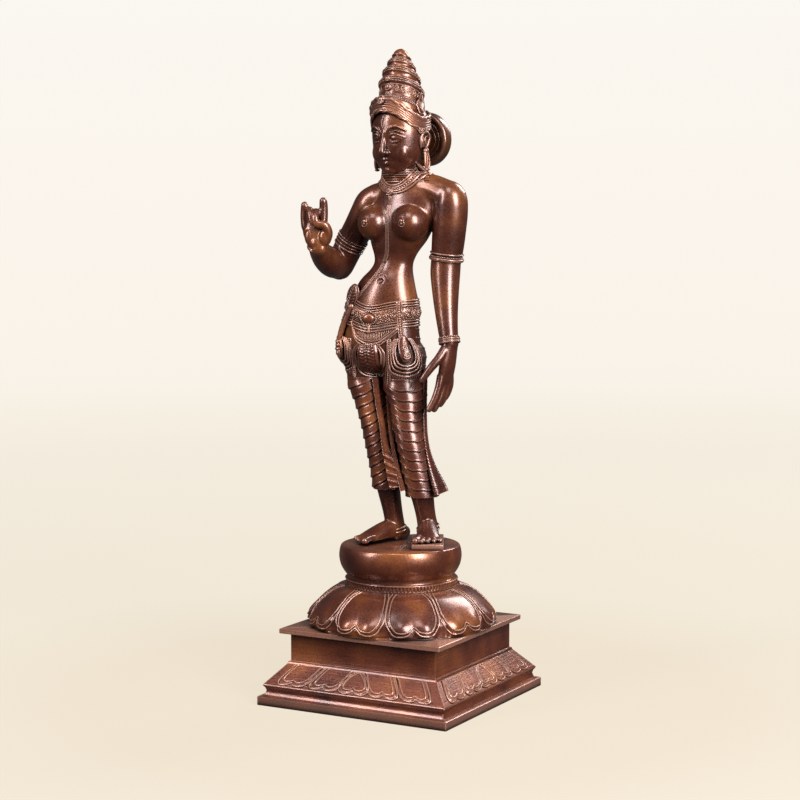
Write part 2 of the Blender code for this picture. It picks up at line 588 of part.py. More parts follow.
def add_hangings(bm):
    """The pleated sash in front, the one at the left hip and a plainer one behind."""
    centre = [(-23.5, -9, 300, 4.6, 2.8), (-20.9, -8.2, 278, 4.6, 2.6), (-17.7, -7.6, 260, 4.6, 2.4),
              (-13.4, -7.2, 241, 5.0, 2.4), (-9.0, -6.6, 227, 6.4, 2.2), (-4.7, -6.0, 212.5, 8.0, 2.2),
              (-1.5, -5.6, 201, 9.2, 2.0)]
    ribbon(bm, centre, normal=(0.25, -1, 0), sides=30, pleats=3, pleat_depth=2.0)
    side = [(18.4, 10, 312, 5.0, 2.4), (18.4, 9, 285, 5.5, 2.6), (19.2, 8.5, 266, 5.5, 2.6),
            (20.2, 8.5, 250, 6.0, 2.6), (23.2, 9, 235, 7.0, 2.4), (28.6, 9.6, 219, 8.5, 2.2),
            (34.2, 10.4, 204, 10.0, 2.0), (36.4, 11, 196, 10.5, 1.6)]
    ribbon(bm, side, normal=(0.9, -0.5, 0.2), sides=30, pleats=2, pleat_depth=1.6)
    back = [(-26, 36, 344, 7.0, 3.0), (-25, 36.5, 322, 7.5, 3.0), (-23, 30, 290, 7.5, 2.8), (-18, 25, 262, 7.0, 2.6),
            (-11, 25, 232, 8.0, 2.4), (-5, 27, 206, 9.5, 2.0)]
    ribbon(bm, back, normal=(0.0, 1, 0), sides=30, pleats=3, pleat_depth=1.6)


def add_limb_rings(bm):
    """Armlets, bangles and anklets."""
    for place in (0.50, 0.58):
        limb_band(bm, RIGHT_UPPER_ARM, place, 0.6, 1.3)
    limb_band(bm, LEFT_UPPER_ARM, 0.90, 0.4, 1.1)
    limb_band(bm, LEFT_UPPER_ARM, 0.965, 0.9, 1.7)
    for place in (0.92, 0.975):
        limb_band(bm, LEFT_FOREARM, place, 0.5, 1.3)
    limb_band(bm, RIGHT_FOREARM, 0.90, 0.4, 1.2)
    for table in (RIGHT_LEG, LEFT_LEG):
        for place in (0.895, 0.925):
            limb_band(bm, table, place, 0.5, 1.1)


def crown_place():
    """Matrix that carries crown measures to the head's."""
    sway = Matrix.Rotation(CROWN_SWAY, 4, "Y")
    rake = Matrix.Identity(4)
    rake[2][1] = -CROWN_RAKE
    return Matrix.Translation(CROWN_BASE) @ sway @ Matrix.Rotation(CROWN_LEAN, 4, "X") @ rake


def tiara_spot(a, drop, bulge):
    """A point on the tiara: a quarter turn less than zero is the front, drop is down from the middle row."""
    sink = abs(math.cos(a)) ** 2.4 if math.sin(a) < 0 else 1 - 0.35 * math.sin(a) ** 2
    height = TIARA_TOP - TIARA_FALL * sink - drop
    return Vector(((TIARA_WIDE + bulge) * math.cos(a), 1.8 + (TIARA_DEEP + bulge) * math.sin(a), height))


def add_crown(bm):
    """The stepped crown with its medallions and side leaves, and the tiara."""
    lean = crown_place()
    turned(bm, CROWN_PROFILE, lean)
    for height, size in ((15.0, 3.8), (23.0, 2.8)):
        ball(bm, lean @ Vector((0, -21.0, height)), (size, 2.4, size * 1.15))
    for side in (1, -1):
        leaf = [(side * 21.4, 4, -3, 2.0, 6.0), (side * 21.6, 4, 5, 2.2, 7.0), (side * 21.0, 4, 13, 1.8, 4.0),
                (side * 20.4, 4, 18, 1.0, 1.2)]
        tube(bm, [(*(lean @ Vector(row[:3])), row[3], row[4]) for row in leaf], hint=(side, 0, 0))
    for drop, bulge, thick in TIARA_ROWS:
        hoop(bm, [tiara_spot(math.tau * k / 60, drop, bulge) for k in range(60)], thick)
    for degrees, size in ((0, 4.6), (42, 3.2), (-42, 3.2)):
        ball(bm, tiara_spot(math.radians(degrees - 90), -3.6, -0.4), (size, size * 0.8, size))


def add_earrings(bm):
    """Long lobes with drop earrings."""
    for side in (1, -1):
        lobe = [(side * 26.6, 2.2, 20, 2.0, 3.6), (side * 28.0, 2.2, 12, 1.8, 3.0), (side * 28.8, 2.2, 4, 2.4, 4.0),
                (side * 29.0, 2.2, -1, 2.4, 4.0)]
        tube(bm, lobe, sides=16)


def add_halo(bm):
    """The round disc behind the head, on a short stub."""
    place = Matrix.Translation(HALO_AT) @ Matrix.Rotation(math.pi / 2, 4, "X")
    half = HALO_THICK / 2
    edge = HALO_RADIUS
    rim = [(0.5, -half + 1.6), (edge - 6, -half + 1.6), (edge - 3, -half), (edge - 1, -half + 0.6),
           (edge, -half + 2.8), (edge, half - 2.8), (edge - 1, half - 0.6), (edge - 3, half),
           (edge - 6, half - 1.6), (0.5, half - 1.6)]
    turned(bm, rim, place, sides=48)
    tube(bm, [(0, 20, 28.5, 8, 8), (4, 40, 27.5, 8, 8)], hint=(0, 0, 1))


def add_hair(bm):
    """Short locks that fan out over the nape."""
    for k in range(9):
        swing = (k - 4) / 4
        root = Vector((-10 + 9 * swing, 27.0 - 2.5 * abs(swing), 507))
        middle = Vector((-8 + 20 * swing, 32.5 - 3.5 * abs(swing), 493 + 2 * abs(swing)))
        end = Vector((-6 + 31 * swing, 34.0 - 4.5 * abs(swing), 474 + 9 * abs(swing) ** 2))
        tube(bm, [(*root, 3.4, 3.2), (*middle, 3.4, 3.0), (*end, 2.9, 2.8)], sides=14)


def head_place():
    """Matrix that carries head measures, from the chin up, to the figure."""
    turn = Matrix.Rotation(HEAD_TURN, 4, "Z") @ Matrix.Rotation(HEAD_NOD, 4, "X")
    return Matrix.Translation(HEAD_AT) @ turn


def place_head(bm, builders):
    """Run builders that work in head measures and carry what they made to the figure."""
    piece = bmesh.new()
    for build in builders:
        build(piece)
    bmesh.ops.transform(piece, matrix=head_place(), verts=piece.verts)
    mesh = bpy.data.meshes.new("piece")
    piece.to_mesh(mesh)
    piece.free()
    bm.from_mesh(mesh)
    bpy.data.meshes.remove(mesh)


def head_form():
    """The blended head with its hollows, as a mesh in head measures."""
    bm = bmesh.new()
    add_skull(bm)
    form = fuse(bm, 4)
    sink_sockets(form)
    mesh = bpy.data.meshes.new("head_form")
    form.to_mesh(mesh)
    form.free()
    return mesh


def build_figure():
    """Cast all of the figure in one: blend the body, lay on the dress, fuse, thin out and cut flat."""
    bare = bmesh.new()
    add_trunk(bare)
    for table in (RIGHT_LEG, LEFT_LEG):
        tube(bare, table)
    surface = BVHTree.FromBMesh(fuse(bare.copy(), BLEND_ROUNDS))
    for table in (RIGHT_UPPER_ARM, RIGHT_FOREARM, LEFT_UPPER_ARM, LEFT_FOREARM):
        tube(bare, table)
    bm = fuse(bare, BLEND_ROUNDS)
    press(bm, front_spot(surface, -17.0, 396, 0), 3.4, (0, 2.0, 0))
    for wrap in (RIGHT_WRAP, LEFT_WRAP):
        add_wrap(bm, wrap)
    for foot in (RIGHT_FOOT, LEFT_FOOT):
        add_foot(bm, foot)
    for spot in ((8.0, 452), (-30.6, 451.5)):
        ball(bm, front_spot(surface, *spot, 0.0), (2.1, 1.8, 2.1))
    add_pad(bm)
    add_right_hand(bm)
    add_left_hand(bm)
    add_limb_rings(bm)
    add_necklaces(bm, surface)
    add_girdle(bm, surface)
    add_drapes(bm, surface)
    add_hangings(bm)
    form = head_form()
    place_head(bm, (lambda piece: piece.from_mesh(form), add_face, add_crown, add_earrings, add_halo))
    add_hair(bm)
    cast = fuse(bm, FINISH_ROUNDS)
    figure = new_object("figure", cast, ((0.24, 0.10, 0.05), 0.35))
    figure.data.calc_loop_triangles()
    thin = figure.modifiers.new("thin", "DECIMATE")
    thin.ratio = min(FIGURE_TRIANGLES / len(figure.data.loop_triangles), 1.0)
    thin.use_collapse_triangulate = True
    thinned = evaluated(figure)
    figure.modifiers.clear()
    figure.data = thinned
    cut_soles(figure)
    figure.data.shade_smooth()
    return figure


def cut_soles(obj):
    """Cut the figure off flat where it stands, and drop loose crumbs."""
    bm = bmesh.new()
    bm.from_mesh(obj.data)
    geometry = bm.verts[:] + bm.edges[:] + bm.faces[:]
    bmesh.ops.bisect_plane(bm, geom=geometry, dist=1e-7, plane_co=(0, 0, FLOOR * MM), plane_no=(0, 0, 1),
                           clear_inner=True)
    bmesh.ops.holes_fill(bm, edges=[edge for edge in bm.edges if edge.is_boundary])
    keep_largest(bm)
    bmesh.ops.triangulate(bm, faces=bm.faces)
    bm.to_mesh(obj.data)
    bm.free()


def keep_largest(bm):
    """Delete every shell but the one with most vertices."""
    unseen = set(bm.verts)
    shells = []
    while unseen:
        stack = [unseen.pop()]
        shell = list(stack)
        while stack:
            for edge in stack.pop().link_edges:
                for vert in edge.verts:
                    if vert in unseen:
                        unseen.discard(vert)
                        shell.append(vert)
                        stack.append(vert)
        shells.append(shell)
    shells.sort(key=len)
    for shell in shells[:-1]:
        bmesh.ops.delete(bm, geom=shell, context="VERTS")


def new_object(name, bm, finish):
    """Finish a mesh in metres and put it in the scene."""
    bmesh.ops.scale(bm, vec=(MM, MM, MM), verts=bm.verts)
    mesh = bpy.data.meshes.new(name)
    bm.to_mesh(mesh)
    bm.free()
    obj = bpy.data.objects.new(name, mesh)
    bpy.context.scene.collection.objects.link(obj)
    add_material(obj, name + "_bronze", *finish)
    return obj


# The lotus pedestal
def step_up(value, start, width):
    """Rise from 0 to 1 over a width after the start."""
    return min(max((value - start) / width, 0.0), 1.0)


def petal_relief(angle, height):
    """How far the dome stands out at an angle, for a height of 0 at its foot to 1 at its neck."""
    place = angle / (math.tau / LOTUS_PETALS) % 1.0
    aside = abs(2 * place - 1)
    lobe = math.exp(-((aside - 0.40) / 0.24) ** 2) * math.exp(-((height - 0.34) / 0.26) ** 2)
    rim = 0.10 + 0.12 * math.exp(-(aside / 0.15) ** 2)
    petal = step_up(height, rim, 0.10) * (1 - step_up(aside, 0.55, 0.12))
    rib = (1 - step_up(abs(aside - 0.71), 0.02, 0.08)) * step_up(height, 0.02, 0.1)
    gap = step_up(aside, 0.84, 0.06) * (1 - 0.5 * height)
    return 2.8 * lobe * petal + 0.6 * petal + 1.3 * rib - 2.2 * gap - 0.4


def build_lotus():
    """A dome of ten double petals, a beaded neck and a round bowl."""
    bm = bmesh.new()
    count = LOTUS_PETALS * PETAL_STEPS
    rows = []
    for k, (radius, height) in enumerate(DOME_PROFILE):
        t = k / (len(DOME_PROFILE) - 1)
        fade = min(1.0, (1 - t) * 3)
        row = []
        for n in range(count):
            a = math.tau * (n + 0.5) / count
            reach = radius + petal_relief(a, t) * fade
            row.append(bm.verts.new((reach * math.cos(a), reach * math.sin(a), height)))
        rows.append(row)
    for low, high in zip(rows, rows[1:]):
        for k, vert in enumerate(low):
            n = (k + 1) % count
            bm.faces.new((vert, low[n], high[n], high[k]))
    bm.faces.new(rows[0][::-1])
    bowl = []
    for radius, height in BOWL_PROFILE:
        angles = [math.tau * (n + 0.25) / BOWL_SIDES for n in range(BOWL_SIDES)]
        x, y = BOWL_CENTRE
        bowl.append([bm.verts.new((x + radius * math.cos(a), y + radius * math.sin(a), height)) for a in angles])
    for low, high in zip(bowl, bowl[1:]):
        for k, vert in enumerate(low):
            n = (k + 1) % BOWL_SIDES
            bm.faces.new((vert, low[n], high[n], high[k]))
    bm.faces.new(bowl[-1])
    for k, vert in enumerate(bowl[0]):
        n = (k + 1) % BOWL_SIDES
        bm.faces.new((vert, rows[-1][2 * k], rows[-1][2 * k + 1]))
        bm.faces.new((vert, rows[-1][2 * k + 1], bowl[0][n]))
        bm.faces.new((rows[-1][2 * k + 1], rows[-1][(2 * k + 2) % count], bowl[0][n]))
    bmesh.ops.recalc_face_normals(bm, faces=bm.faces)
    obj = new_object("lotus_pedestal", bm, ((0.30, 0.14, 0.07), 0.32))
    obj.data.shade_smooth()
    obj.data.set_sharp_from_angle(angle=math.radians(50))
    return obj


# The square plinth
def petal_outline(centre, half, lean, low, high):
    """Outline of a slope petal: lobed at the foot, pointed at the head."""
    shape = [(-1.0, 0.30), (-0.80, 0.10), (-0.42, 0.02), (0.0, 0.13), (0.42, 0.02), (0.80, 0.10), (1.0, 0.30),
             (0.92, 0.62), (0.55, 0.92), (0.0, 1.0), (-0.55, 0.92), (-0.92, 0.62)]
    return [(centre + half * x + lean * (0.5 - y), low + (high - low) * y) for x, y in shape]


def slope_point(side, along, up, proud):
    """A point on one sloping face: along the side, up the slope, out of it."""
    foot = SLOPE_FOOT
    rise = SLOPE_HEAD - SLOPE_FOOT
    length = rise.length
    normal = Vector((rise.y, -rise.x)) / length
    spot = foot + rise / length * up + normal * proud
    turn = Matrix.Rotation(side * math.pi / 2, 3, "Z")
    return turn @ Vector((along, -spot.x, spot.y))


def build_plinth():
    """A stepped square plinth whose slope carries a row of petals."""
    bm = bmesh.new()
    corners = ((1, -1), (1, 1), (-1, 1), (-1, -1))
    rows = [[bm.verts.new((half * x, half * y, height)) for x, y in corners] for half, height in PLINTH_LEVELS]
    for low, high in zip(rows, rows[1:]):
        for k, vert in enumerate(low):
            n = (k + 1) % 4
            bm.faces.new((vert, low[n], high[n], high[k]))
    bm.faces.new(rows[0][::-1])
    bm.faces.new(rows[-1])
    bmesh.ops.recalc_face_normals(bm, faces=bm.faces)
    obj = new_object("square_plinth", bm, ((0.27, 0.12, 0.06), 0.38))
    petals = bmesh.new()
    length = (SLOPE_HEAD - SLOPE_FOOT).length
    pitch = 2 * SLOPE_HEAD.x / SLOPE_PETALS * 0.98
    for side in range(4):
        for k in range(SLOPE_PETALS):
            place = k - (SLOPE_PETALS - 1) / 2
            outline = petal_outline(place * pitch * 1.08, pitch * 0.44, place * 3.4, 2.2, length - 2.0)
            low = [petals.verts.new(slope_point(side, x, y, -1.5)) for x, y in outline]
            high = [petals.verts.new(slope_point(side, x, y, SLOPE_RELIEF)) for x, y in outline]
            for n, vert in enumerate(low):
                m = (n + 1) % len(low)
                petals.faces.new((vert, low[m], high[m], high[n]))
            petals.faces.new(low[::-1])
            petals.faces.new(high)
    bmesh.ops.recalc_face_normals(petals, faces=petals.faces)
    relief = new_object("slope_petals", petals, ((0.27, 0.12, 0.06), 0.38))
    union = obj.modifiers.new("petals", "BOOLEAN")
    union.operation = "UNION"
    union.solver = "EXACT"
    union.object = relief
    obj.data = evaluated(obj)
    obj.modifiers.clear()
    bpy.data.objects.remove(relief)
    return obj


def main():
    for obj in list(bpy.data.objects):
        bpy.data.objects.remove(obj, do_unlink=True)
    build_plinth()
    build_lotus()
    build_figure()


if __name__ == "__main__":
    main()
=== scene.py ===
import math

import bmesh
import bpy
from mathutils import Euler, Matrix, Vector
from mathutils.bvhtree import BVHTree


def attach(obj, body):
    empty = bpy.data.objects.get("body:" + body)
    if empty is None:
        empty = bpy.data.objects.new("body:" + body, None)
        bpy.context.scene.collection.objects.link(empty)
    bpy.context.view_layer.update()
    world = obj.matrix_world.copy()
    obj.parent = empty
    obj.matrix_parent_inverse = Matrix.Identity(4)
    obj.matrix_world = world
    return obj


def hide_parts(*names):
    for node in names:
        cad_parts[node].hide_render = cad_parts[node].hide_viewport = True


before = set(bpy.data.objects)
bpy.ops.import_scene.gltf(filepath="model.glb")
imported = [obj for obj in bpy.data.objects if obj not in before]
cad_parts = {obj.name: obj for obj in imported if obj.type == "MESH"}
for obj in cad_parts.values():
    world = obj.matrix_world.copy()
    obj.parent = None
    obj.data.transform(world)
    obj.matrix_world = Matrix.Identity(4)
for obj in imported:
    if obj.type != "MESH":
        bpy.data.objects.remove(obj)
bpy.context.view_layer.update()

# Sizes below are in millimetres. The figure faces -Y and its left hand is at +X.
mm = 0.001
floorLevel = 146.8
across = Vector((1, 0, 0))
upward = Vector((0, 0, 1))


# Curves and placing
def between(rows, t):  # every column at t, 0 to 1, on a smooth curve through the rows
    count = len(rows) - 1
    place = min(max(t, 0.0), 1.0) * count
    k = min(int(place), count - 1)
    f = place - k
    near = [rows[min(max(k + step, 0), count)] for step in (-1, 0, 1, 2)]
    result = []
    for a, b, c, d in zip(*near):
        slopeB = (c - a) / 2
        slopeC = (d - b) / 2
        cubic = 2 * b - 2 * c + slopeB + slopeC
        square = -3 * b + 3 * c - 2 * slopeB - slopeC
        result.append(((cubic * f + square) * f + slopeB) * f + b)
    return result


def spread(rows, spans):  # rows read off the smooth curve
    count = (len(rows) - 1) * spans
    return [between(rows, k / count) for k in range(count + 1)]


def mix(value, low, high):  # 0 below low, 1 above high, eased between
    f = min(max((value - low) / (high - low), 0.0), 1.0)
    return f * f * (3 - 2 * f)


def bump(value, width):  # a smooth hill round 0
    return math.exp(-(value / width) ** 2)


def ringPlace(centre, side, forward, wide, deep):  # matrix that carries the unit circle to a ring
    place = Matrix((side * wide, forward * deep, side.cross(forward))).transposed().to_4x4()
    place.translation = centre
    return place


def pathFrame(points, k, hint, closed=False):  # sideways and forward directions of a path
    after = points[(k + 1) % len(points)] if closed else points[min(k + 1, len(points) - 1)]
    before = points[k - 1] if closed else points[max(k - 1, 0)]
    along = (after - before).normalized()
    side = (hint - along * hint.dot(along)).normalized()
    return side, along.cross(side), along


def handOver(target, part):  # join a finished part to a piece
    mesh = bpy.data.meshes.new("part")
    part.to_mesh(mesh)
    part.free()
    target.from_mesh(mesh)
    bpy.data.meshes.remove(mesh)


def loft(target, places, sides, closed=False, shape=None):  # a skin round a row of ring places
    part = bmesh.new()
    rows = len(places) if closed else len(places) - 1
    bmesh.ops.create_grid(part, x_segments=rows, y_segments=sides, size=1)
    for vert in part.verts:
        k = round((vert.co.x + 1) / 2 * rows) % len(places)
        a = math.pi * (vert.co.y + 1)
        x, y = math.cos(a), math.sin(a)
        if shape:
            x, y = shape(k, x, y)
        vert.co = places[k] @ Vector((x, y, 0))
    bmesh.ops.remove_doubles(part, verts=[vert for vert in part.verts if vert.is_boundary], dist=1e-4)
    bmesh.ops.holes_fill(part, edges=[edge for edge in part.edges if edge.is_boundary])
    bmesh.ops.recalc_face_normals(part, faces=part.faces)
    handOver(target, part)


def tube(target, rows, sides=28, spans=4, hint=across, level=False, shape=None):
    rows = spread(rows, spans)  # x, y, z, half width, half depth
    points = [Vector(row[:3]) for row in rows]
    last = len(rows) - 1
    places = []
    for k, row in enumerate(rows):
        side, forward, along = pathFrame(points, k, Vector(hint))
        if level:
            side, forward, along = across, Vector((0, 1, 0)), upward
        dome = [(math.sin(a), math.cos(a)) for a in (0.0, 0.5, 1.0, 1.4)] if k in (0, last) else [(0, 1)]
        if k == 0:
            dome = [(-reach, size) for reach, size in dome[::-1]]
        for reach, size in dome:
            middle = points[k] + along * (reach * min(row[3], row[4]))
            places.append(ringPlace(middle, side, forward, row[3] * size, row[4] * size))
    loft(target, places, sides, shape=shape)


def cord(target, points, thick, sides=10, spans=3, thin=1.0):
    last = len(points) - 1
    sizes = [thick * (thin + (1 - thin) * math.sin(math.pi * k / last)) for k in range(last + 1)]
    rows = [(*point, size, size) for point, size in zip(points, sizes)]
    tube(target, rows, sides=sides, spans=spans, hint=Vector((0.3, 0.2, 1)))


def hoop(target, points, thick, sides=10, tall=1.0, twist=0.0):  # a closed ring through the points
    places = []
    for k, point in enumerate(points):
        lift, sideways, _ = pathFrame(points, k, upward, closed=True)
        places.append(ringPlace(point, sideways, lift, thick, thick * tall))

    def rope(k, x, y):
        swell = 1 + 0.2 * math.cos(2 * math.atan2(y, x) + k * twist)
        return x * swell, y * swell

    loft(target, places, sides, closed=True, shape=rope if twist else None)


def ball(target, centre, radii, turn=(0, 0, 0), sides=20):
    spin = Euler([math.radians(value) for value in turn]).to_matrix().to_4x4()
    place = Matrix.Translation(centre) @ spin @ Matrix.Diagonal((*radii, 1))
    part = bmesh.new()
    bmesh.ops.create_uvsphere(part, u_segments=sides, v_segments=sides // 2, radius=1, matrix=place)
    handOver(target, part)


def bead(target, centre, radius):
    bmesh.ops.create_icosphere(target, subdivisions=2, radius=radius, matrix=Matrix.Translation(centre))


def beadRow(target, points, radius, step, closed=False):  # beads a step apart along a line
    line = list(points) + ([points[0]] if closed else [])
    left = 0.0
    part = bmesh.new()
    for start, end in zip(line, line[1:]):
        length = (end - start).length
        while left < length:
            bead(part, start + (end - start) * (left / length), radius)
            left += step
        left -= length
    handOver(target, part)


def rosette(target, centre, out, size, petals=8):  # a flower with a raised heart
    side = out.orthogonal().normalized()
    turn = out.cross(side)
    part = bmesh.new()
    for k in range(petals):
        a = math.tau * k / petals
        spot = centre + (side * math.cos(a) + turn * math.sin(a)) * size * 0.66
        bead(part, spot, size * 0.30)
    bead(part, centre + out * size * 0.12, size * 0.42)
    handOver(target, part)


def turned(target, profile, place, sides=64, shift=None):  # radius and height turned about an axis
    places = [place @ Matrix.Translation((0, shift(height) if shift else 0, height))
              @ Matrix.Diagonal((radius, radius, 1, 1)) for radius, height in profile]
    loft(target, places, sides)


def press(bm, spot, reach, push):  # move the surface near a spot, fading out at the reach
    centre = Vector(spot)
    shift = Vector(push)
    for vert in bm.verts:
        gap = (vert.co - centre).length / reach
        if gap < 1:
            vert.co += shift * (1 - gap * gap) ** 2


def evaluated(obj):
    return bpy.data.meshes.new_from_object(obj.evaluated_get(bpy.context.evaluated_depsgraph_get()))


def fuse(bm, voxel, rounds, most=0):  # melt overlapping solids into one skin
    bmesh.ops.scale(bm, vec=(mm, mm, mm), verts=bm.verts)
    mesh = bpy.data.meshes.new("rough")
    bm.to_mesh(mesh)
    bm.free()
    rough = bpy.data.objects.new("rough", mesh)
    bpy.context.scene.collection.objects.link(rough)
    melt = rough.modifiers.new("melt", "REMESH")
    melt.mode = "VOXEL"
    melt.voxel_size = voxel * mm
    soften = rough.modifiers.new("soften", "SMOOTH")
    soften.factor = 0.5
    soften.iterations = rounds
    skin = evaluated(rough)
    if most:
        rough.modifiers.clear()
        rough.data = skin
        thin = rough.modifiers.new("thin", "DECIMATE")
        thin.ratio = min(most / (2 * len(skin.polygons)), 1.0)
        skin = evaluated(rough)
    result = bmesh.new()
    result.from_mesh(skin)
    bmesh.ops.scale(result, vec=(1 / mm, 1 / mm, 1 / mm), verts=result.verts)
    bpy.data.objects.remove(rough)
    return result


# Bronze
# deep is the painted shade that ambient occlusion lays in crevices, within the crevice distance
# high is the colour of worn edges and of the painted highlight on them
bronze = {
    "deep": (0.006, 0.002, 0.0015), "dark": (0.034, 0.0075, 0.004), "mid": (0.080, 0.020, 0.0095),
    "warm": (0.190, 0.060, 0.017), "high": (0.42, 0.23, 0.17), "roughness": (0.24, 0.40),
    "metal": 0.45, "crevice": 0.0045,
}


def addNode(tree, kind, inputs=None, **settings):
    node = tree.nodes.new(kind)
    for name, value in settings.items():
        setattr(node, name, value)
    for name, value in (inputs or {}).items():
        if isinstance(value, bpy.types.NodeSocket):
            tree.links.new(value, node.inputs[name])
        else:
            node.inputs[name].default_value = value
    return node


def rampNode(tree, source, stops):
    node = addNode(tree, "ShaderNodeValToRGB", {"Fac": source})
    ramp = node.color_ramp
    while len(ramp.elements) < len(stops):
        ramp.elements.new(0.5)
    for element, (place, colour) in zip(ramp.elements, stops):
        element.position = place
        element.color = (*colour, 1) if isinstance(colour, tuple) else (colour, colour, colour, 1)
    return node.outputs["Color"]


def mixColour(tree, amount, first, second, kind="MIX"):
    node = addNode(tree, "ShaderNodeMix", data_type="RGBA", blend_type=kind)
    for socket, value in zip((node.inputs[0], node.inputs[6], node.inputs[7]), (amount, first, second)):
        if isinstance(value, bpy.types.NodeSocket):
            tree.links.new(value, socket)
        else:
            socket.default_value = (*value, 1) if isinstance(value, tuple) else value
    return node.outputs[2]


def noise(tree, place, scale, detail):
    node = addNode(tree, "ShaderNodeTexNoise", {"Vector": place, "Scale": scale, "Detail": detail})
    return node.outputs["Fac"]


def bronzeMaterial(name, marks=0.0, lift=1.0, grain=0.16, wearAndHighlight=0.8, gold=1.0):
    material = bpy.data.materials.new(name)
    material.use_nodes = True
    tree = material.node_tree
    shader = tree.nodes["Principled BSDF"]
    shader.inputs["Metallic"].default_value = bronze["metal"]
    shader.inputs["Specular IOR Level"].default_value = 0.6
    shader.inputs["Coat Weight"].default_value = 0.35
    shader.inputs["Coat Roughness"].default_value = 0.16
    place = addNode(tree, "ShaderNodeTexCoord").outputs["Object"]
    cloud = noise(tree, place, 22.0, 6.0)
    speck = noise(tree, place, 700.0, 5.0)
    long = addNode(tree, "ShaderNodeMapping", {"Vector": place, "Scale": (25, 25, 1100)}).outputs["Vector"]
    file = noise(tree, long, 1.0, 4.0)
    warm = tuple(low + (high - low) * gold for low, high in zip(bronze["mid"], bronze["warm"]))
    body = rampNode(tree, cloud, [(0.32, bronze["dark"]), (0.50, bronze["mid"]), (0.70, warm)])
    body = mixColour(tree, 0.45, body, rampNode(tree, speck, [(0.30, 0.78), (0.70, 1.15)]), "MULTIPLY")
    if marks:
        body = mixColour(tree, marks, body, rampNode(tree, file, [(0.30, 0.60), (0.70, 1.35)]), "MULTIPLY")
    if lift != 1.0:
        body = mixColour(tree, 1.0, body, (lift, lift, lift), "MULTIPLY")
    # Worn edges and painted highlight: convex edges lighten towards the high colour.
    edge = addNode(tree, "ShaderNodeNewGeometry").outputs["Pointiness"]
    body = mixColour(tree, rampNode(tree, edge, [(0.515, 0.0), (0.61, wearAndHighlight)]), body, bronze["high"])
    # Painted shade: ambient occlusion darkens crevices and the joins between parts towards the deep colour.
    shade = addNode(tree, "ShaderNodeAmbientOcclusion", {"Distance": bronze["crevice"]}, samples=6)
    paintedCreviceShade = rampNode(tree, shade.outputs["AO"], [(0.45, 1.0), (0.88, 0.0)])
    body = mixColour(tree, paintedCreviceShade, body, bronze["deep"])
    tree.links.new(body, shader.inputs["Base Color"])
    low, high = bronze["roughness"]
    rough = addNode(tree, "ShaderNodeMapRange", {"Value": speck, "From Min": 0.35, "From Max": 0.65,
                                                 "To Min": low, "To Max": high}).outputs["Result"]
    tree.links.new(rough, shader.inputs["Roughness"])
    height = addNode(tree, "ShaderNodeBump", {"Height": speck, "Strength": grain, "Distance": 0.0002})
    if marks:
        height = addNode(tree, "ShaderNodeBump", {"Height": file, "Strength": marks, "Distance": 0.0003,
                                                  "Normal": height.outputs["Normal"]})
    tree.links.new(height.outputs["Normal"], shader.inputs["Normal"])
    return material


skinBronze = bronzeMaterial("skinBronze", grain=0.12)
clothBronze = bronzeMaterial("clothBronze", lift=1.25, grain=0.35, wearAndHighlight=0.9)
jewelBronze = bronzeMaterial("jewelBronze", lift=1.35, grain=0.15, wearAndHighlight=0.8)
lotusBronze = bronzeMaterial("lotusBronze", lift=1.3, grain=0.25)
lineBronze = bronzeMaterial("lineBronze", lift=1.9, grain=0.2, wearAndHighlight=1.0)
plinthBronze = bronzeMaterial("plinthBronze", marks=0.6, lift=1.7, grain=0.2, wearAndHighlight=1.0, gold=0.5)
# Painted shade: the disc's bronze is darkened to half, for the shadow the head casts on its face.
shadedDiscBronze = bronzeMaterial("shadedDiscBronze", lift=0.5, grain=0.3, wearAndHighlight=0.2)


def finishPiece(name, bm, material, replaced=None, crease=None):
    bmesh.ops.scale(bm, vec=(mm, mm, mm), verts=bm.verts)
    mesh = bpy.data.meshes.new(name)
    bm.to_mesh(mesh)
    bm.free()
    mesh.materials.append(material)
    mesh.shade_smooth()
    if crease:
        mesh.set_sharp_from_angle(angle=math.radians(crease))
    piece = bpy.data.objects.new(name, mesh)
    bpy.context.scene.collection.objects.link(piece)
    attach(piece, "root")
    if replaced:
        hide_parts(replaced)
    print(name, sum(len(face.vertices) - 2 for face in mesh.polygons), "triangles")
    return piece


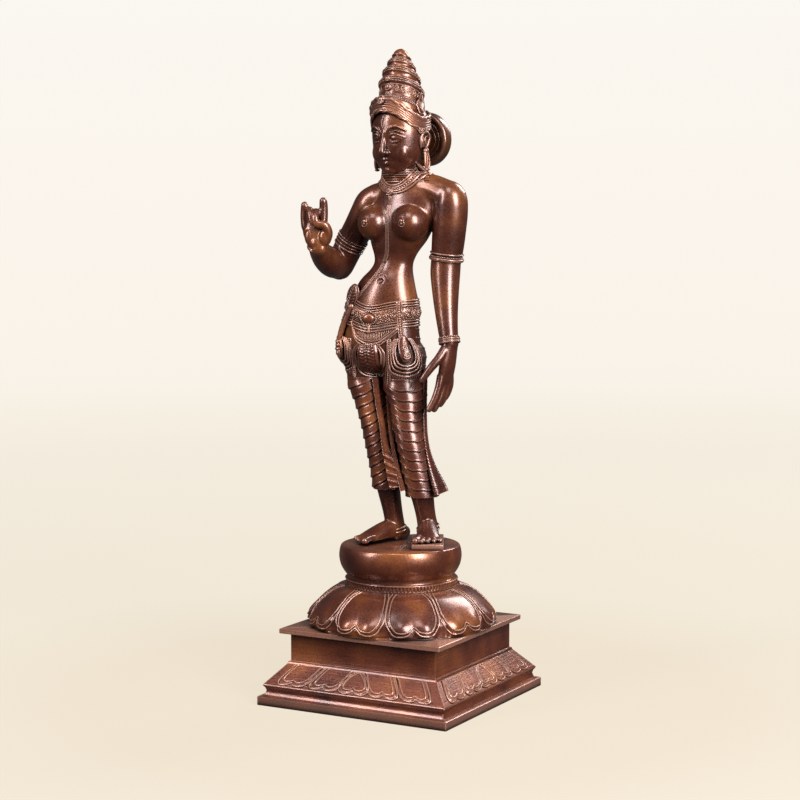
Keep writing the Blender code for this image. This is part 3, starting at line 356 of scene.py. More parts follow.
# The body: x, y, z, half width, half depth
body = {
    "trunk": [
        (-24.5, 11, 311, 33, 12), (-27.5, 10.5, 320, 42.0, 27.0), (-30, 10, 334, 42.5, 28.5),
        (-30, 10, 348, 40.5, 28), (-28.3, 10, 360, 38, 26.5), (-25, 9.5, 374, 35.5, 25),
        (-23, 9.0, 386, 31.2, 23.0), (-20.8, 9.8, 397, 26.4, 20.4), (-17.4, 11.4, 406, 21.0, 17.2),
        (-15.4, 12.5, 413, 19.4, 15.6), (-14.2, 13, 420, 21.4, 16), (-13.2, 13.5, 426, 24.6, 17.5),
        (-11.4, 14, 433, 28.6, 19), (-9.0, 14.5, 442, 31.4, 20.5), (-6.5, 15, 453, 34, 21),
        (-4.5, 15.5, 465, 35, 19.5), (-3, 15.5, 476, 33, 17), (-5, 15, 485, 26, 15),
        (-7.0, 14, 492, 20.5, 14.5), (-9.4, 13, 499, 16.4, 14.5), (-11, 13, 512, 15.0, 14.5),
    ],
    "yoke": [
        (-46, 17.5, 466, 14, 14), (-30, 17, 475.5, 13.5, 13.5), (-12, 16.5, 482, 13, 13),
        (6, 16.5, 484, 13, 13), (25, 17, 481.5, 13.5, 13.5), (42, 17.5, 473.5, 14.5, 14.5),
    ],
    "rightUpperArm": [
        (-36, 16.5, 474, 13.5, 13.5), (-43, 17, 468, 15.4, 15.4), (-50, 17.5, 457, 15.0, 15.0),
        (-58, 18, 444, 14.5, 14.5), (-66.5, 19, 431, 14.2, 14.2), (-75, 20, 417, 13.8, 13.8),
        (-80.5, 21, 408, 13.4, 13.4),
    ],
    "rightForearm": [
        (-82, 24, 409.5, 13.2, 13.2), (-81, 10, 411.0, 14.2, 14.2), (-79, -5, 415.5, 13.2, 13.2),
        (-77, -18, 421.0, 11.0, 11.0), (-74.8, -28, 426, 8.8, 9.2), (-73.2, -32.5, 431, 8.2, 8.4),
    ],
    "leftUpperArm": [
        (35, 16.5, 479, 13, 13), (41.3, 17.5, 473, 16.0, 16.0), (41.8, 18, 460, 16.4, 16.4),
        (40.4, 18.5, 445, 16.0, 16.0), (38.4, 19.5, 430, 15.4, 15.4), (36.4, 20, 415, 14.4, 14.4),
    ],
    "leftForearm": [
        (36.4, 20, 418, 14.0, 14.0), (36.0, 19, 404, 14.2, 14.2), (37.8, 16, 387, 12.8, 12.8),
        (40.6, 12.5, 368, 11, 11), (44.2, 9, 350, 9.4, 9.6), (46.8, 7.5, 338, 8.4, 9.4),
    ],
    "rightLeg": [
        (-44, 10, 322, 20, 23), (-41.6, 9.5, 300, 19.0, 21.5), (-36.0, 9, 280, 15.8, 18),
        (-31.2, 8, 260, 13.6, 15.4), (-28.6, 8, 243, 12.2, 13.8), (-26.6, 10, 228, 11.6, 13.2),
        (-25, 13, 212, 11, 12.8), (-23.2, 16, 195, 10.4, 12.4), (-21.8, 19, 180, 9.2, 11.2),
        (-20.6, 21, 168, 8.8, 10.6), (-19.4, 22.5, 156, 9.0, 11.4), (-18.8, 23, 149, 9.0, 11.4),
    ],
    "leftLeg": [
        (-4, 10, 322, 21, 24), (-1.8, 8.5, 300, 19.0, 21.5), (3.0, 6.3, 280, 15.0, 17.2),
        (5.2, 5, 260, 12.9, 14.8), (8.2, 4.5, 243, 11.9, 13.4), (10.2, 7, 228, 11.7, 13.2),
        (11.6, 10, 212, 11.8, 13), (13.8, 14, 195, 10.8, 12.4), (15.2, 17, 180, 9.4, 11),
        (16, 19, 170, 9.0, 10.6), (16.8, 21, 160, 9.4, 11.6), (17.0, 22, 152, 9.4, 11.8),
    ],
    "breasts": [((8.2, 2.5, 450), (17.0, 18.6, 17)), ((-29.6, 1.5, 449.5), (16.4, 18.3, 16.6))],
    "seat": [((-46, 22, 322), (20, 20, 21)), ((-8, 22, 322), (20, 20, 21))],
    "softVoxel": 1.2, "fineVoxel": 0.85, "triangles": 185000,
}


def limb(target, name):
    tube(target, body[name])


def bareBody(target, withArms):
    tube(target, body["trunk"], sides=44, level=True)
    tube(target, body["yoke"], hint=upward)
    for centre, radii in body["breasts"] + body["seat"]:
        ball(target, centre, radii, sides=36)
    limb(target, "rightLeg")
    limb(target, "leftLeg")
    if withArms:
        for name in ("rightUpperArm", "rightForearm", "leftUpperArm", "leftForearm"):
            limb(target, name)


restBody = bmesh.new()
bareBody(restBody, False)
surface = BVHTree.FromBMesh(fuse(restBody, body["softVoxel"], 8))
hipAxis = (-27, 10)
neckHeart = Vector((-9, 15, 478))


def touch(start, aim, lift):  # where a ray first meets the body, lifted off it
    start = Vector(start)
    aim = Vector(aim)
    spot, normal, _, _ = surface.ray_cast(start, (aim - start).normalized())
    return spot + normal * lift if spot else aim


def frontSpot(x, z, lift=0.4):
    return touch((x, -90, z), (x, 40, z), lift)


def hipSpot(degrees, z, lift=0.4):  # angle from the front towards the figure's left
    a = math.radians(degrees)
    heart = Vector((*hipAxis, z))
    return touch(heart + Vector((math.sin(a), -math.cos(a), 0)) * 80, heart, lift)


def neckSpot(degrees, drop, lift=0.4):  # low in front, high behind
    a = math.radians(degrees)
    base = 1 if math.cos(a) > 0 else 27
    rise = math.radians(base + (32 - base) * abs(math.sin(a)) ** 3 - drop)
    out = Vector((math.sin(a) * math.cos(rise), -math.cos(a) * math.cos(rise), math.sin(rise)))
    return touch(neckHeart + out * 60, neckHeart, lift)


# Hands
def finger(target, joints, thick, taper=0.22):
    last = len(joints) - 1
    sizes = [thick * (1 - taper * k / last) for k in range(last + 1)]
    tube(target, [(*joint, size, size) for joint, size in zip(joints, sizes)], sides=16)


def rightHand(target):  # raised, palm forward, two fingers bent to the thumb
    wrist = Vector((-71.4, -33.0, 428))
    out = Vector((math.sin(math.radians(16)), -math.cos(math.radians(16)), 0.08)).normalized()
    rise = Vector((-0.04, 0, 1))
    rise = (rise - out * rise.dot(out)).normalized()
    aside = rise.cross(out)
    if aside.x < 0:
        aside.negate()

    def spot(x, y, z):
        return wrist + aside * x + rise * y + out * z

    palm = ((0.3, -3, 8.2, 6.6), (-1.0, 5, 10.2, 6.4), (-2.4, 13, 12.2, 5.8), (-2.8, 20, 12.4, 5.0),
            (-2.8, 23, 11.6, 4.2))
    tube(target, [(*spot(x, y, 0), wide, deep) for x, y, wide, deep in palm], hint=aside)
    ball(target, spot(6.4, 8, 3.0), (5.5, 5.5, 8.0))
    ball(target, spot(-8.0, 9, 2.4), (4.6, 4.6, 8.0))
    fingers = [
        (4.5, [(-11.8, 19, 0), (-12.6, 27, 0.5), (-12.4, 34, 1.5), (-11.8, 39, 3.0)]),
        (3.8, [(-6.8, 20, 0), (-7.3, 28.5, 1.5), (-6.8, 34.5, 4), (-5.0, 30, 9), (-3, 22, 10)]),
        (3.9, [(-1.4, 20, 0), (-1.2, 27, 1.5), (-0.6, 32.5, 4), (0, 27, 9.5), (0.8, 20, 10)]),
        (4.8, [(4.2, 19, 0), (5.4, 28, 0.5), (6.2, 36.5, 1.5), (6.4, 42, 3.0)]),
        (4.8, [(7.8, 5, 2), (10.8, 12, 4), (8.6, 19, 7.5), (2.4, 20.0, 9.5)]),
    ]
    for thick, joints in fingers:
        finger(target, [spot(*joint) for joint in joints], thick)


def leftHand(target):  # hanging, thumb forward and fingers loose
    tube(target, [(47.2, 8, 342, 8.0, 9.0), (46.4, 7.5, 332, 6.8, 10.0), (45.2, 6.8, 320, 6.4, 11.4),
                  (43.6, 6.2, 309, 5.8, 11.4), (42.8, 6.0, 304, 5.2, 10.6)])
    fingers = [
        (3.9, 0.22, [(42.6, -2.0, 308), (41.4, -4.6, 297), (38.8, -8.0, 286), (35.4, -11.6, 277.5)]),
        (3.9, 0.22, [(43.2, 3.4, 307), (42.2, 1.7, 295), (40.2, -1.6, 285), (37.2, -5.0, 277.0)]),
        (3.7, 0.22, [(43.8, 8.8, 307), (43.4, 8.2, 296), (41.8, 6.0, 287), (39.2, 3.0, 281)]),
        (3.4, 0.22, [(44.2, 13.6, 309), (44.4, 13.8, 300), (43.2, 12.2, 292.5), (41.4, 10.0, 287)]),
        (4.9, 0.42, [(45.2, 1.5, 333), (42.4, -5.0, 325), (37.2, -11.0, 316.5), (32.6, -15.2, 308.5),
                     (30.6, -16.6, 305)]),
    ]
    for thick, taper, joints in fingers:
        finger(target, joints, thick, taper)


# Feet
feet = {
    "right": {"heel": (-15.5, 31), "tip": (-36.5, -25), "inner": 1, "lift": 1.2},
    "left": {"heel": (12.5, 29), "tip": (38.5, -20), "inner": -1, "lift": 5.0},
    "rings": [(-0.01, 5.5, 6.4, 6.5), (0.08, 7.0, 8.4, 8.5), (0.22, 9.0, 8.8, 11.0), (0.40, 8.5, 9.4, 9.6),
              (0.58, 6.4, 10.8, 7.6), (0.72, 4.6, 11.6, 5.6), (0.79, 3.8, 11.2, 4.4)],
    "toes": [(1.02, 3.7, 4.4), (1.02, 2.6, 3.8), (0.985, 2.5, 3.6), (0.94, 2.4, 3.5), (0.885, 2.3, 3.4)],
    "pad": (30.0, 7.5),
}


def footFrame(foot):
    heel = Vector((*foot["heel"], floorLevel + foot["lift"]))
    along = Vector((*foot["tip"], heel.z)) - heel
    ahead = along.normalized()
    return heel, along, ahead, Vector((-ahead.y, ahead.x, 0)) * foot["inner"]


def addFoot(target, foot):
    heel, along, ahead, inward = footFrame(foot)
    rings = [(*(heel + along * t + upward * (height - 1.2)), wide, deep)
             for t, height, wide, deep in feet["rings"]]
    tube(target, rings, hint=inward)
    for k, (reach, thick, rise) in enumerate(feet["toes"]):
        place = 1 - k / 2
        root = heel + along * 0.66 + inward * (place * 7.0) + upward * (rise + 0.2)
        middle = heel + along * (0.7 + reach) / 2 + inward * (place * 9.4) + upward * (rise - 0.2)
        end = heel + along * (reach - 0.05) + inward * (place * 11.6) + upward * (rise - 1.4)
        tube(target, [(*root, thick * 0.8, thick * 0.8), (*middle, thick * 0.9, thick * 0.9),
                      (*end, thick, thick)],
             sides=16, hint=inward)


def addPad(target):
    heel, along, ahead, inward = footFrame(feet["left"])
    wide, spare = feet["pad"]
    turn = Matrix.Rotation(math.atan2(ahead.y, ahead.x), 4, "Z")
    middle = heel + along / 2 - ahead * 1.2
    middle.z = floorLevel
    size = Matrix.Diagonal((along.length + spare, wide, 2 * feet["left"]["lift"], 1))
    bmesh.ops.create_cube(target, size=1, matrix=Matrix.Translation(middle) @ turn @ size)


def cutFlat(bm, level):  # cut off below a level and close the cut
    geometry = bm.verts[:] + bm.edges[:] + bm.faces[:]
    bmesh.ops.bisect_plane(bm, geom=geometry, dist=1e-4, plane_co=(0, 0, level), plane_no=(0, 0, 1),
                           clear_inner=True)
    bmesh.ops.holes_fill(bm, edges=[edge for edge in bm.edges if edge.is_boundary])


rough = bmesh.new()
bareBody(rough, True)
figure = fuse(rough, body["softVoxel"], 8)
press(figure, frontSpot(-17.0, 396, 0), 3.4, (0, 2.0, 0))
rightHand(figure)
leftHand(figure)
for side in ("right", "left"):
    addFoot(figure, feet[side])
for x, z in ((8.0, 452), (-30.6, 451.5)):
    ball(figure, frontSpot(x, z, 0.9), (2.0, 1.9, 2.0))
figure = fuse(figure, body["fineVoxel"], 2, body["triangles"])
cutFlat(figure, floorLevel)
finishPiece("figureBody", figure, skinBronze, replaced="figure")
pad = bmesh.new()
addPad(pad)
cutFlat(pad, floorLevel)
bmesh.ops.bevel(pad, geom=pad.edges[:], offset=0.5, segments=2, profile=0.5, affect="EDGES", material=-1)
finishPiece("footPad", pad, lotusBronze, crease=50)


# The head, in its own measures from the chin up
head = {
    "at": (-8.5, 13.5, 501), "turn": -7, "nod": 3,
    "rings": [
        (0.0, -13.4, -4.2, 4.4, 3.0), (0.0, -11.4, -2.2, 10.0, 8.0), (0.0, -8.6, 0.8, 14.8, 13.2),
        (0.0, -5.8, 4.8, 18.6, 17.8), (0.0, -3.2, 10.0, 22.0, 21.8), (0.0, -1.2, 16.5, 24.4, 24.8),
        (0.0, 0.6, 26.0, 26.0, 26.8), (0.0, 1.2, 35.0, 26.4, 27.6), (0.0, 1.6, 44.0, 25.6, 27.2),
        (0.0, 2.0, 52.0, 23.4, 25.0), (0.0, 2.0, 58.0, 18.5, 20.5), (0.0, 2.0, 63.0, 10.0, 11.5),
    ],
    "nose": [(0, -24.6, 34, 2.3, 2.4), (0, -26.2, 28, 1.9, 2.4), (0, -28.2, 22, 2.3, 2.8),
             (0, -30.0, 16.6, 3.1, 3.2), (0, -28.9, 14.2, 2.9, 2.2)],
    "eyeLine": 29.0, "eyeApart": 10.4, "voxel": 0.5, "triangles": 130000,
}
nodHead = Matrix.Rotation(math.radians(head["nod"]), 4, "X")
turnHead = Matrix.Rotation(math.radians(head["turn"]), 4, "Z") @ nodHead
headPlace = Matrix.Translation(head["at"]) @ turnHead


def skull(target):
    tube(target, head["rings"], sides=56, level=True)
    tube(target, head["nose"], sides=20)
    ball(target, (0, -16.8, 0.0), (7.0, 5.6, 5.0))
    for side in (1, -1):
        ball(target, (side * 11.0, -13.8, 15.4), (9.6, 9.2, 11.5), sides=28)
        ball(target, (side * 3.8, -26.6, 15.4), (2.5, 3.0, 2.1))


def hollows(bm):
    for side in (1, -1):
        press(bm, (side * head["eyeApart"], -24.0, head["eyeLine"]), 8.4, (0, 3.2, 0))
        press(bm, (side * 7.6, -23.5, 8.0), 4.0, (0, 0.9, 0))
    press(bm, (0, -24.5, 2.6), 4.5, (0, 1.0, 0))


def features(target):
    line = head["eyeLine"]
    for side in (1, -1):
        ball(target, (side * head["eyeApart"], -19.2, line), (7.4, 4.9, 4.2), (0, side * 3, side * 18),
             sides=32)
        lids = (
            (1.15, 0.5, ((4.0, -24.0, -0.8), (7.4, -25.2, 2.9), (12.2, -23.9, 3.6), (18.4, -18.5, 0.2))),
            (0.75, 0.5, ((4.4, -23.8, -1.4), (8.2, -24.2, -3.6), (12.6, -22.9, -3.5), (17.4, -19.2, -0.9))),
            (0.55, 0.5, ((4.6, -24.8, 3.0), (8.4, -25.3, 5.9), (13.0, -23.8, 6.3), (18.2, -19.4, 3.6))),
            (1.3, 0.4, ((3.2, -26.0, 4.6), (8.0, -26.0, 9.6), (13.8, -23.6, 10.4), (20.0, -18.0, 6.2))),
        )
        for thick, thin, points in lids:
            cord(target, [Vector((side * x, y, line + z)) for x, y, z in points], thick, thin=thin, spans=5)
        lips = [(0, -23.4, 9.0, 1.25, 2.1), (side * 2.6, -23.5, 9.7, 1.2, 2.1),
                (side * 7.4, -21.3, 8.3, 0.5, 1.1)]
        tube(target, lips, sides=16, hint=upward)
    tube(target, [(-6.2, -21.1, 7.6, 0.7, 1.1), (0, -23.0, 5.7, 1.85, 2.3), (6.2, -21.1, 7.6, 0.7, 1.1)],
         sides=16, hint=upward)


rough = bmesh.new()
skull(rough)
rough = fuse(rough, 0.7, 5)
hollows(rough)
features(rough)
headSkin = fuse(rough, head["voxel"], 3, head["triangles"])
bmesh.ops.transform(headSkin, matrix=headPlace, verts=headSkin.verts)
finishPiece("figureHead", headSkin, skinBronze)


# Ears, earrings and the mark between the brows
ears = {"width": 25.8, "strands": (-2.4, 0.0, 2.4), "length": 14.0}


def addEar(target, side):
    x = side * ears["width"]
    rim = [(x, -3.0, 23), (x + side * 0.8, -4.0, 29), (x + side * 1.6, -1.0, 35), (x + side * 2.4, 4.6, 35.4),
           (x + side * 2.2, 7.4, 30), (x + side * 1.6, 5.4, 24), (x + side * 1.4, 2.6, 20.5),
           (x + side * 1.6, 1.0, 17)]
    cord(target, [Vector(p) for p in rim], 1.5, sides=12)
    ball(target, (x + side * 0.4, 1.8, 28.0), (2.2, 5.0, 7.0))
    inner = [(x + side * 2.4, 4.4, 31.6), (x + side * 2.8, 1.4, 32.0), (x + side * 2.6, -0.4, 28.0),
             (x + side * 2.4, 1.6, 25)]
    cord(target, [Vector(p) for p in inner], 0.8)
    ball(target, (x + side * 2.6, 1.6, 19.0), (2.4, 3.2, 2.6))
    for shift in ears["strands"]:
        drop = [(x + side * 2.6, 1.6 + shift * 0.8, 18), (x + side * 3.2, 1.8 + shift * 1.2, 12),
                (x + side * 3.4, 2.0 + shift * 1.3, 6), (x + side * 3.3, 2.0 + shift * 0.7, 2.2)]
        cord(target, [Vector(p) for p in drop], 1.15)
    ball(target, (x + side * 3.4, 2.0, 1.8), (1.9, 3.4, 1.7))
    rosette(target, Vector((x + side * 1.6, -4.4, 37.6)), Vector((side, -0.3, 0)).normalized(), 3.0)


earPiece = bmesh.new()
addEar(earPiece, 1)
addEar(earPiece, -1)
for side in (1, -1):
    mark = ((0, -26.4, 40.4), (side * 1.8, -26.2, 43.5), (side * 1.6, -25.7, 47.5), (side * 0.6, -24.7, 52))
    cord(earPiece, [Vector(p) for p in mark], 0.5, thin=0.6)
bmesh.ops.transform(earPiece, matrix=headPlace @ Matrix.Translation((0, 0, -2.8)), verts=earPiece.verts)
finishPiece("earrings", earPiece, jewelBronze)


# The crown, in the head's measures
crown = {
    "base": (-2.0, 6.0, 51), "lean": -7, "sway": -2.5, "rake": 0.36,
    "profile": [
        (24.0, -6.0), (24.6, -3.0), (24.4, 0.5), (22.8, 3.0), (21.2, 5.0), (20.8, 9.0), (20.4, 14.0),
        (20.0, 19.6), (20.9, 20.8), (21.0, 24.0), (20.2, 25.2), (17.6, 27.4), (16.9, 31.2), (17.6, 32.4),
        (17.4, 35.4), (16.4, 36.6), (13.6, 38.8), (12.6, 41.6), (13.1, 42.8), (12.8, 45.4), (11.8, 46.6),
        (9.2, 48.6), (8.2, 50.2), (8.7, 51.4), (8.3, 53.2), (7.0, 55.8), (4.6, 58.4), (1.0, 60.6),
    ],
    "beads": [(23.6, 2.0, 0.8), (22.4, 3.8, 0.8), (21.4, 5.6, 0.7), (21.3, 21.7, 0.7), (21.3, 23.5, 0.7),
              (17.9, 32.9, 0.6), (17.8, 34.8, 0.6), (13.4, 43.3, 0.5), (13.1, 45.0, 0.5), (8.9, 52.2, 0.45)],
    "lines": [(21.0, 7.2, 0.6), (20.2, 18.6, 0.6), (20.8, 9.0, 0.4), (19.4, 26.2, 0.6), (15.6, 37.6, 0.55),
              (11.2, 47.4, 0.5)],
}
swayCrown = Matrix.Rotation(math.radians(crown["sway"]), 4, "Y")
leanCrown = swayCrown @ Matrix.Rotation(math.radians(crown["lean"]), 4, "X")
rake = Matrix.Identity(4)
rake[2][1] = -crown["rake"]  # tiers stand high in front
crownPlace = headPlace @ Matrix.Translation(crown["base"]) @ leanCrown @ rake


def brimShift(height):  # the brim reaches further forward than the tiers
    return -4.0 * (1 - mix(height, 3.0, 9.0))


def crownSpot(degrees, height, lift=0.0):  # angle from the front, on the crown's wall
    rows = crown["profile"]
    radius = rows[-1][0]
    for (lowRadius, lowHeight), (highRadius, highHeight) in zip(rows, rows[1:]):
        if lowHeight <= height <= highHeight:
            f = (height - lowHeight) / (highHeight - lowHeight)
            radius = lowRadius + (highRadius - lowRadius) * f
            break
    a = math.radians(degrees)
    reach = radius + lift
    return crownPlace @ Vector((reach * math.sin(a), brimShift(height) - reach * math.cos(a), height))


def crownOut(degrees):
    a = math.radians(degrees)
    return (turnHead @ leanCrown @ Vector((math.sin(a), -math.cos(a), 0))).normalized()


def crownRing(radius, height, sides=72):
    points = []
    for k in range(sides):
        a = math.tau * k / sides
        ahead = brimShift(height) + radius * math.sin(a)
        points.append(crownPlace @ Vector((radius * math.cos(a), ahead, height)))
    return points


def scroll(target, centre, out, size, turns, thick, flip=1):  # a spiral line on a surface
    side = out.orthogonal().normalized()
    rise = out.cross(side)
    points = []
    for k in range(int(turns * 10) + 1):
        a = math.tau * k / 10
        reach = size * (1 - 0.78 * k / (turns * 10))
        points.append(centre + side * (math.cos(a) * reach * flip) + rise * (math.sin(a) * reach))
    cord(target, points, thick, sides=8, spans=2)


crownPiece = bmesh.new()
fineProfile = [(max(r, 0.3), z) for r, z in spread(crown["profile"], 3)]
turned(crownPiece, fineProfile, crownPlace, sides=96, shift=brimShift)
for radius, height, thick in crown["lines"]:
    hoop(crownPiece, crownRing(radius, height), thick, sides=8)
finishPiece("crown", crownPiece, clothBronze)

crownTrim = bmesh.new()
for radius, height, size in crown["beads"]:
    beadRow(crownTrim, crownRing(radius, height, 96), size, size * 2.3, closed=True)
for height, size in ((15.0, 3.6), (8.2, 2.4), (22.6, 2.6)):
    ball(crownTrim, crownSpot(0, height, 0.4), (size, 1.8, size))
    scroll(crownTrim, crownSpot(0, height, 1.9), crownOut(0), size * 0.95, 1.6, 0.6)
    bead(crownTrim, crownSpot(0, height, 2.2), size * 0.32)
for degrees in range(24, 340, 16):
    base = crownSpot(degrees, 11.5, 0.1)
    tip = crownSpot(degrees, 18.0, 0.1)
    for swing in (-4.5, 4.5):
        cord(crownTrim, [base, crownSpot(degrees + swing, 14.5, 0.3), tip], 0.55, sides=8)
    bead(crownTrim, crownSpot(degrees, 14.4, 0.2), 1.0)
    scroll(crownTrim, crownSpot(degrees + 8, 13.0, 0.1), crownOut(degrees + 8), 1.9, 1.2, 0.4)
for side in (1, -1):
    outline = ((84, -4), (79, 3), (84, 11), (95, 18.5), (106, 11), (111, 3), (106, -4))
    points = [crownSpot(side * degrees, height, 1.6) for degrees, height in outline]
    cord(crownTrim, points + [points[0]], 0.8)
    plate = [(*crownSpot(side * 95, height, 0.8), wide, 1.5)
             for height, wide in ((-4, 4.2), (3, 6.0), (11, 4.8), (18, 1.2))]
    tube(crownTrim, plate, hint=crownOut(side * 95).cross(upward))
    cord(crownTrim, [crownSpot(side * 95, height, 2.3) for height in (-3, 4, 11, 17)], 0.5, sides=8)
    for height in (-1, 3, 7, 11):
        for swing in (-1, 1):
            vein = [crownSpot(side * 95, height, 2.2), crownSpot(side * 95 + swing * 8, height + 2.8, 1.8)]
            cord(crownTrim, vein, 0.4, sides=8)
finishPiece("crownOrnaments", crownTrim, jewelBronze)

# The diadem arches over the brow and falls to the ears
diadem = {
    "width": 26.2, "depth": 28.0, "top": 60.7, "fall": 19.5,
    "rows": [(-4.6, 0.6, 1.7, 1.2, 0.9), (-2.2, 0.4, 1.3, 1.3, 0.0), (0.0, 0.3, 1.3, 1.3, 0.0),
             (2.2, 0.2, 1.2, 1.3, 0.0), (4.4, 0.1, 1.2, 1.4, 0.0), (6.6, 0.0, 1.5, 1.0, -0.9)],
    "beads": [(-3.0, 0.6, 0.8), (5.2, 1.2, 0.7)],
    "flowers": [(0, 4.6), (34, 2.7), (-34, 2.7), (62, 2.4), (-62, 2.4), (88, 2.4), (-88, 2.4)],
}


def diademSpot(a, drop, bulge):  # a quarter turn below zero is the front
    sink = abs(math.cos(a)) ** 2.4 if math.sin(a) < 0 else 1 - 0.35 * math.sin(a) ** 2
    height = diadem["top"] - diadem["fall"] * sink - drop
    x, y = (diadem["width"] + bulge) * math.cos(a), 1.8 + (diadem["depth"] + bulge) * math.sin(a)
    return headPlace @ Vector((x, y, height))


def diademLine(drop, bulge, count=144):
    return [diademSpot(math.tau * k / count, drop, bulge) for k in range(count)]


diademPiece = bmesh.new()
for drop, bulge, thick, tall, twist in diadem["rows"]:
    hoop(diademPiece, diademLine(drop, bulge), thick, sides=12, tall=tall, twist=twist)
for drop, bulge, size in diadem["beads"]:
    beadRow(diademPiece, diademLine(drop, bulge), size, size * 2.3, closed=True)
for degrees, size in diadem["flowers"]:
    a = math.radians(degrees - 90)
    out = (turnHead @ Vector((math.cos(a), math.sin(a), 0.25))).normalized()
    spot = diademSpot(a, -3.4, -0.6)
    ball(diademPiece, spot, (size * 0.9, size * 0.7, size * 0.9))
    rosette(diademPiece, spot + out * size * 0.55, out, size)
    if size > 4:
        scroll(diademPiece, spot + out * size * 0.72, out, size * 0.95, 1.8, 0.7)
for side in (1, -1):  # curls along the tiara's top
    for degrees in (17, 48, 75):
        a = math.radians(side * degrees - 90)
        out = (turnHead @ Vector((math.cos(a), math.sin(a), 0.25))).normalized()
        scroll(diademPiece, diademSpot(a, -2.2, 0.9), out, 2.1, 1.4, 0.5, flip=side)
finishPiece("diadem", diademPiece, jewelBronze)

# The disc behind the head, on its stub
disc = {"at": (2.8, 40.0, 26.0), "radius": 25.4, "half": 6.25}
edge, half = disc["radius"], disc["half"]
discRows = [(0.5, -half + 2.2), (edge - 7, -half + 2.2), (edge - 5.4, -half + 1.4), (edge - 4, -half + 0.2),
            (edge - 2.6, -half), (edge - 1, -half + 0.6), (edge - 0.2, -half + 2.4), (edge, -half + 3.4),
            (edge, half - 3.4), (edge - 0.2, half - 2.4), (edge - 1, half - 0.6), (edge - 2.6, half),
            (edge - 4, half - 0.2), (edge - 5.4, half - 1.4), (edge - 7, half - 2.2), (0.5, half - 2.2)]
discPiece = bmesh.new()
discPlace = headPlace @ Matrix.Translation(disc["at"]) @ Matrix.Rotation(math.pi / 2, 4, "X")
turned(discPiece, discRows, discPlace, sides=96)
stub = [headPlace @ Vector(p) for p in ((0, 20, 28.5), (2, 30, 28), (4, 40, 27.5))]
tube(discPiece, [(*point, 8, 8) for point in stub], hint=upward)
for radius, thick in ((7.0, 0.8), (12.5, 0.5), (17.0, 0.6)):
    turns = [math.tau * k / 60 for k in range(60)]
    ring = [discPlace @ Vector((math.cos(a) * radius, math.sin(a) * radius, half - 2.1)) for a in turns]
    hoop(discPiece, ring, thick, sides=8)
for k in range(12):
    a = math.tau * k / 12
    reach = [Vector((math.cos(a) * r, math.sin(a) * r, -half + 2.0)) for r in (6, 10, 16.5)]
    cord(discPiece, [discPlace @ point for point in reach], 1.0, thin=0.4)
finishPiece("haloDisc", discPiece, shadedDiscBronze, crease=60)

# Locks over the nape
locks = bmesh.new()
for k in range(11):
    swing = (k - 5) / 5
    root = Vector((-10 + 9 * swing, 27.0 - 2.5 * abs(swing), 507))
    middle = Vector((-8 + 20 * swing, 32.5 - 3.5 * abs(swing), 493 + 2 * abs(swing)))
    end = Vector((-6 + 31 * swing, 34.0 - 4.5 * abs(swing), 474 + 9 * abs(swing) ** 2))
    tube(locks, [(*root, 3.0, 3.0), (*middle, 3.0, 2.8), (*end, 2.5, 2.5)], sides=16)
    scroll(locks, end + Vector((0, 1.2, 0)), Vector((0.2 * swing, 0.9, -0.1)).normalized(), 3.0, 1.5, 0.7)
finishPiece("locks", locks, clothBronze)
print("head done")


# Wound skirt: folds start at their level and their tilt rises to +X and +Y
skirt = {
    "pitch": 9.4, "depth": 1.35, "cloth": 1.1, "sides": 128, "rows": 300, "sweepSide": 209, "viewSide": -61,
    "right": {"leg": "rightLeg", "top": 304, "folds": 321, "hem": 196.5, "tilt": (9.0, 5.0), "sweep": 0.0,
              "flare": 2.2},
    "left": {"leg": "leftLeg", "top": 304, "folds": 305, "hem": 191.5, "tilt": (-1.0, 1.0), "sweep": 6.5,
             "flare": 3.0},
}


def legAt(table, level):  # the leg's row where it has fallen to a level
    low, high = 0.0, 1.0
    for _ in range(24):
        middle = (low + high) / 2
        if between(table, middle)[2] > level:
            low = middle
        else:
            high = middle
    return between(table, low)


def windSkirt(target, wrap):
    count = skirt["rows"]
    levels = [wrap["top"] + (wrap["hem"] - wrap["top"]) * k / count for k in range(count + 1)]
    rows = [legAt(body[wrap["leg"]], level) for level in levels]
    places = [ringPlace(Vector((row[0], row[1], level)), across, Vector((0, 1, 0)), row[3], row[4])
              for row, level in zip(rows, levels)]

    def fold(k, x, y):
        a = math.atan2(y, x)
        slope = wrap["tilt"][0] * math.cos(a) + wrap["tilt"][1] * math.sin(a)
        slope += wrap["sweep"] * max(math.cos(a - math.radians(skirt["sweepSide"])), 0) ** 3
        slope -= 1.8 * math.cos(a - math.radians(skirt["viewSide"]))
        slope += 0.6 * math.sin(3 * a + 0.6) + 0.45 * math.sin(7 * a + 2.0)
        phase = (wrap["folds"] - levels[k] + slope) / skirt["pitch"]
        swell = 0.5
        if phase > 0:
            f = phase % 1.0
            swell = f ** 0.8 * (1 - mix(f, 0.93, 1.0))
            swell += 0.22 * bump(f - 0.85, 0.05) - 0.35 * bump(f - 0.03, 0.05)
        begun = mix(k / count, 0.0, 0.09)
        out = 0.2 + (skirt["cloth"] + skirt["depth"] * swell) * begun + wrap["flare"] * (k / count) ** 5
        return math.cos(a) * (1 + out / rows[k][3]), math.sin(a) * (1 + out / rows[k][4])

    loft(target, places, skirt["sides"], shape=fold)


for side in ("right", "left"):
    piece = bmesh.new()
    windSkirt(piece, skirt[side])
    finishPiece(side + "Skirt", piece, clothBronze)

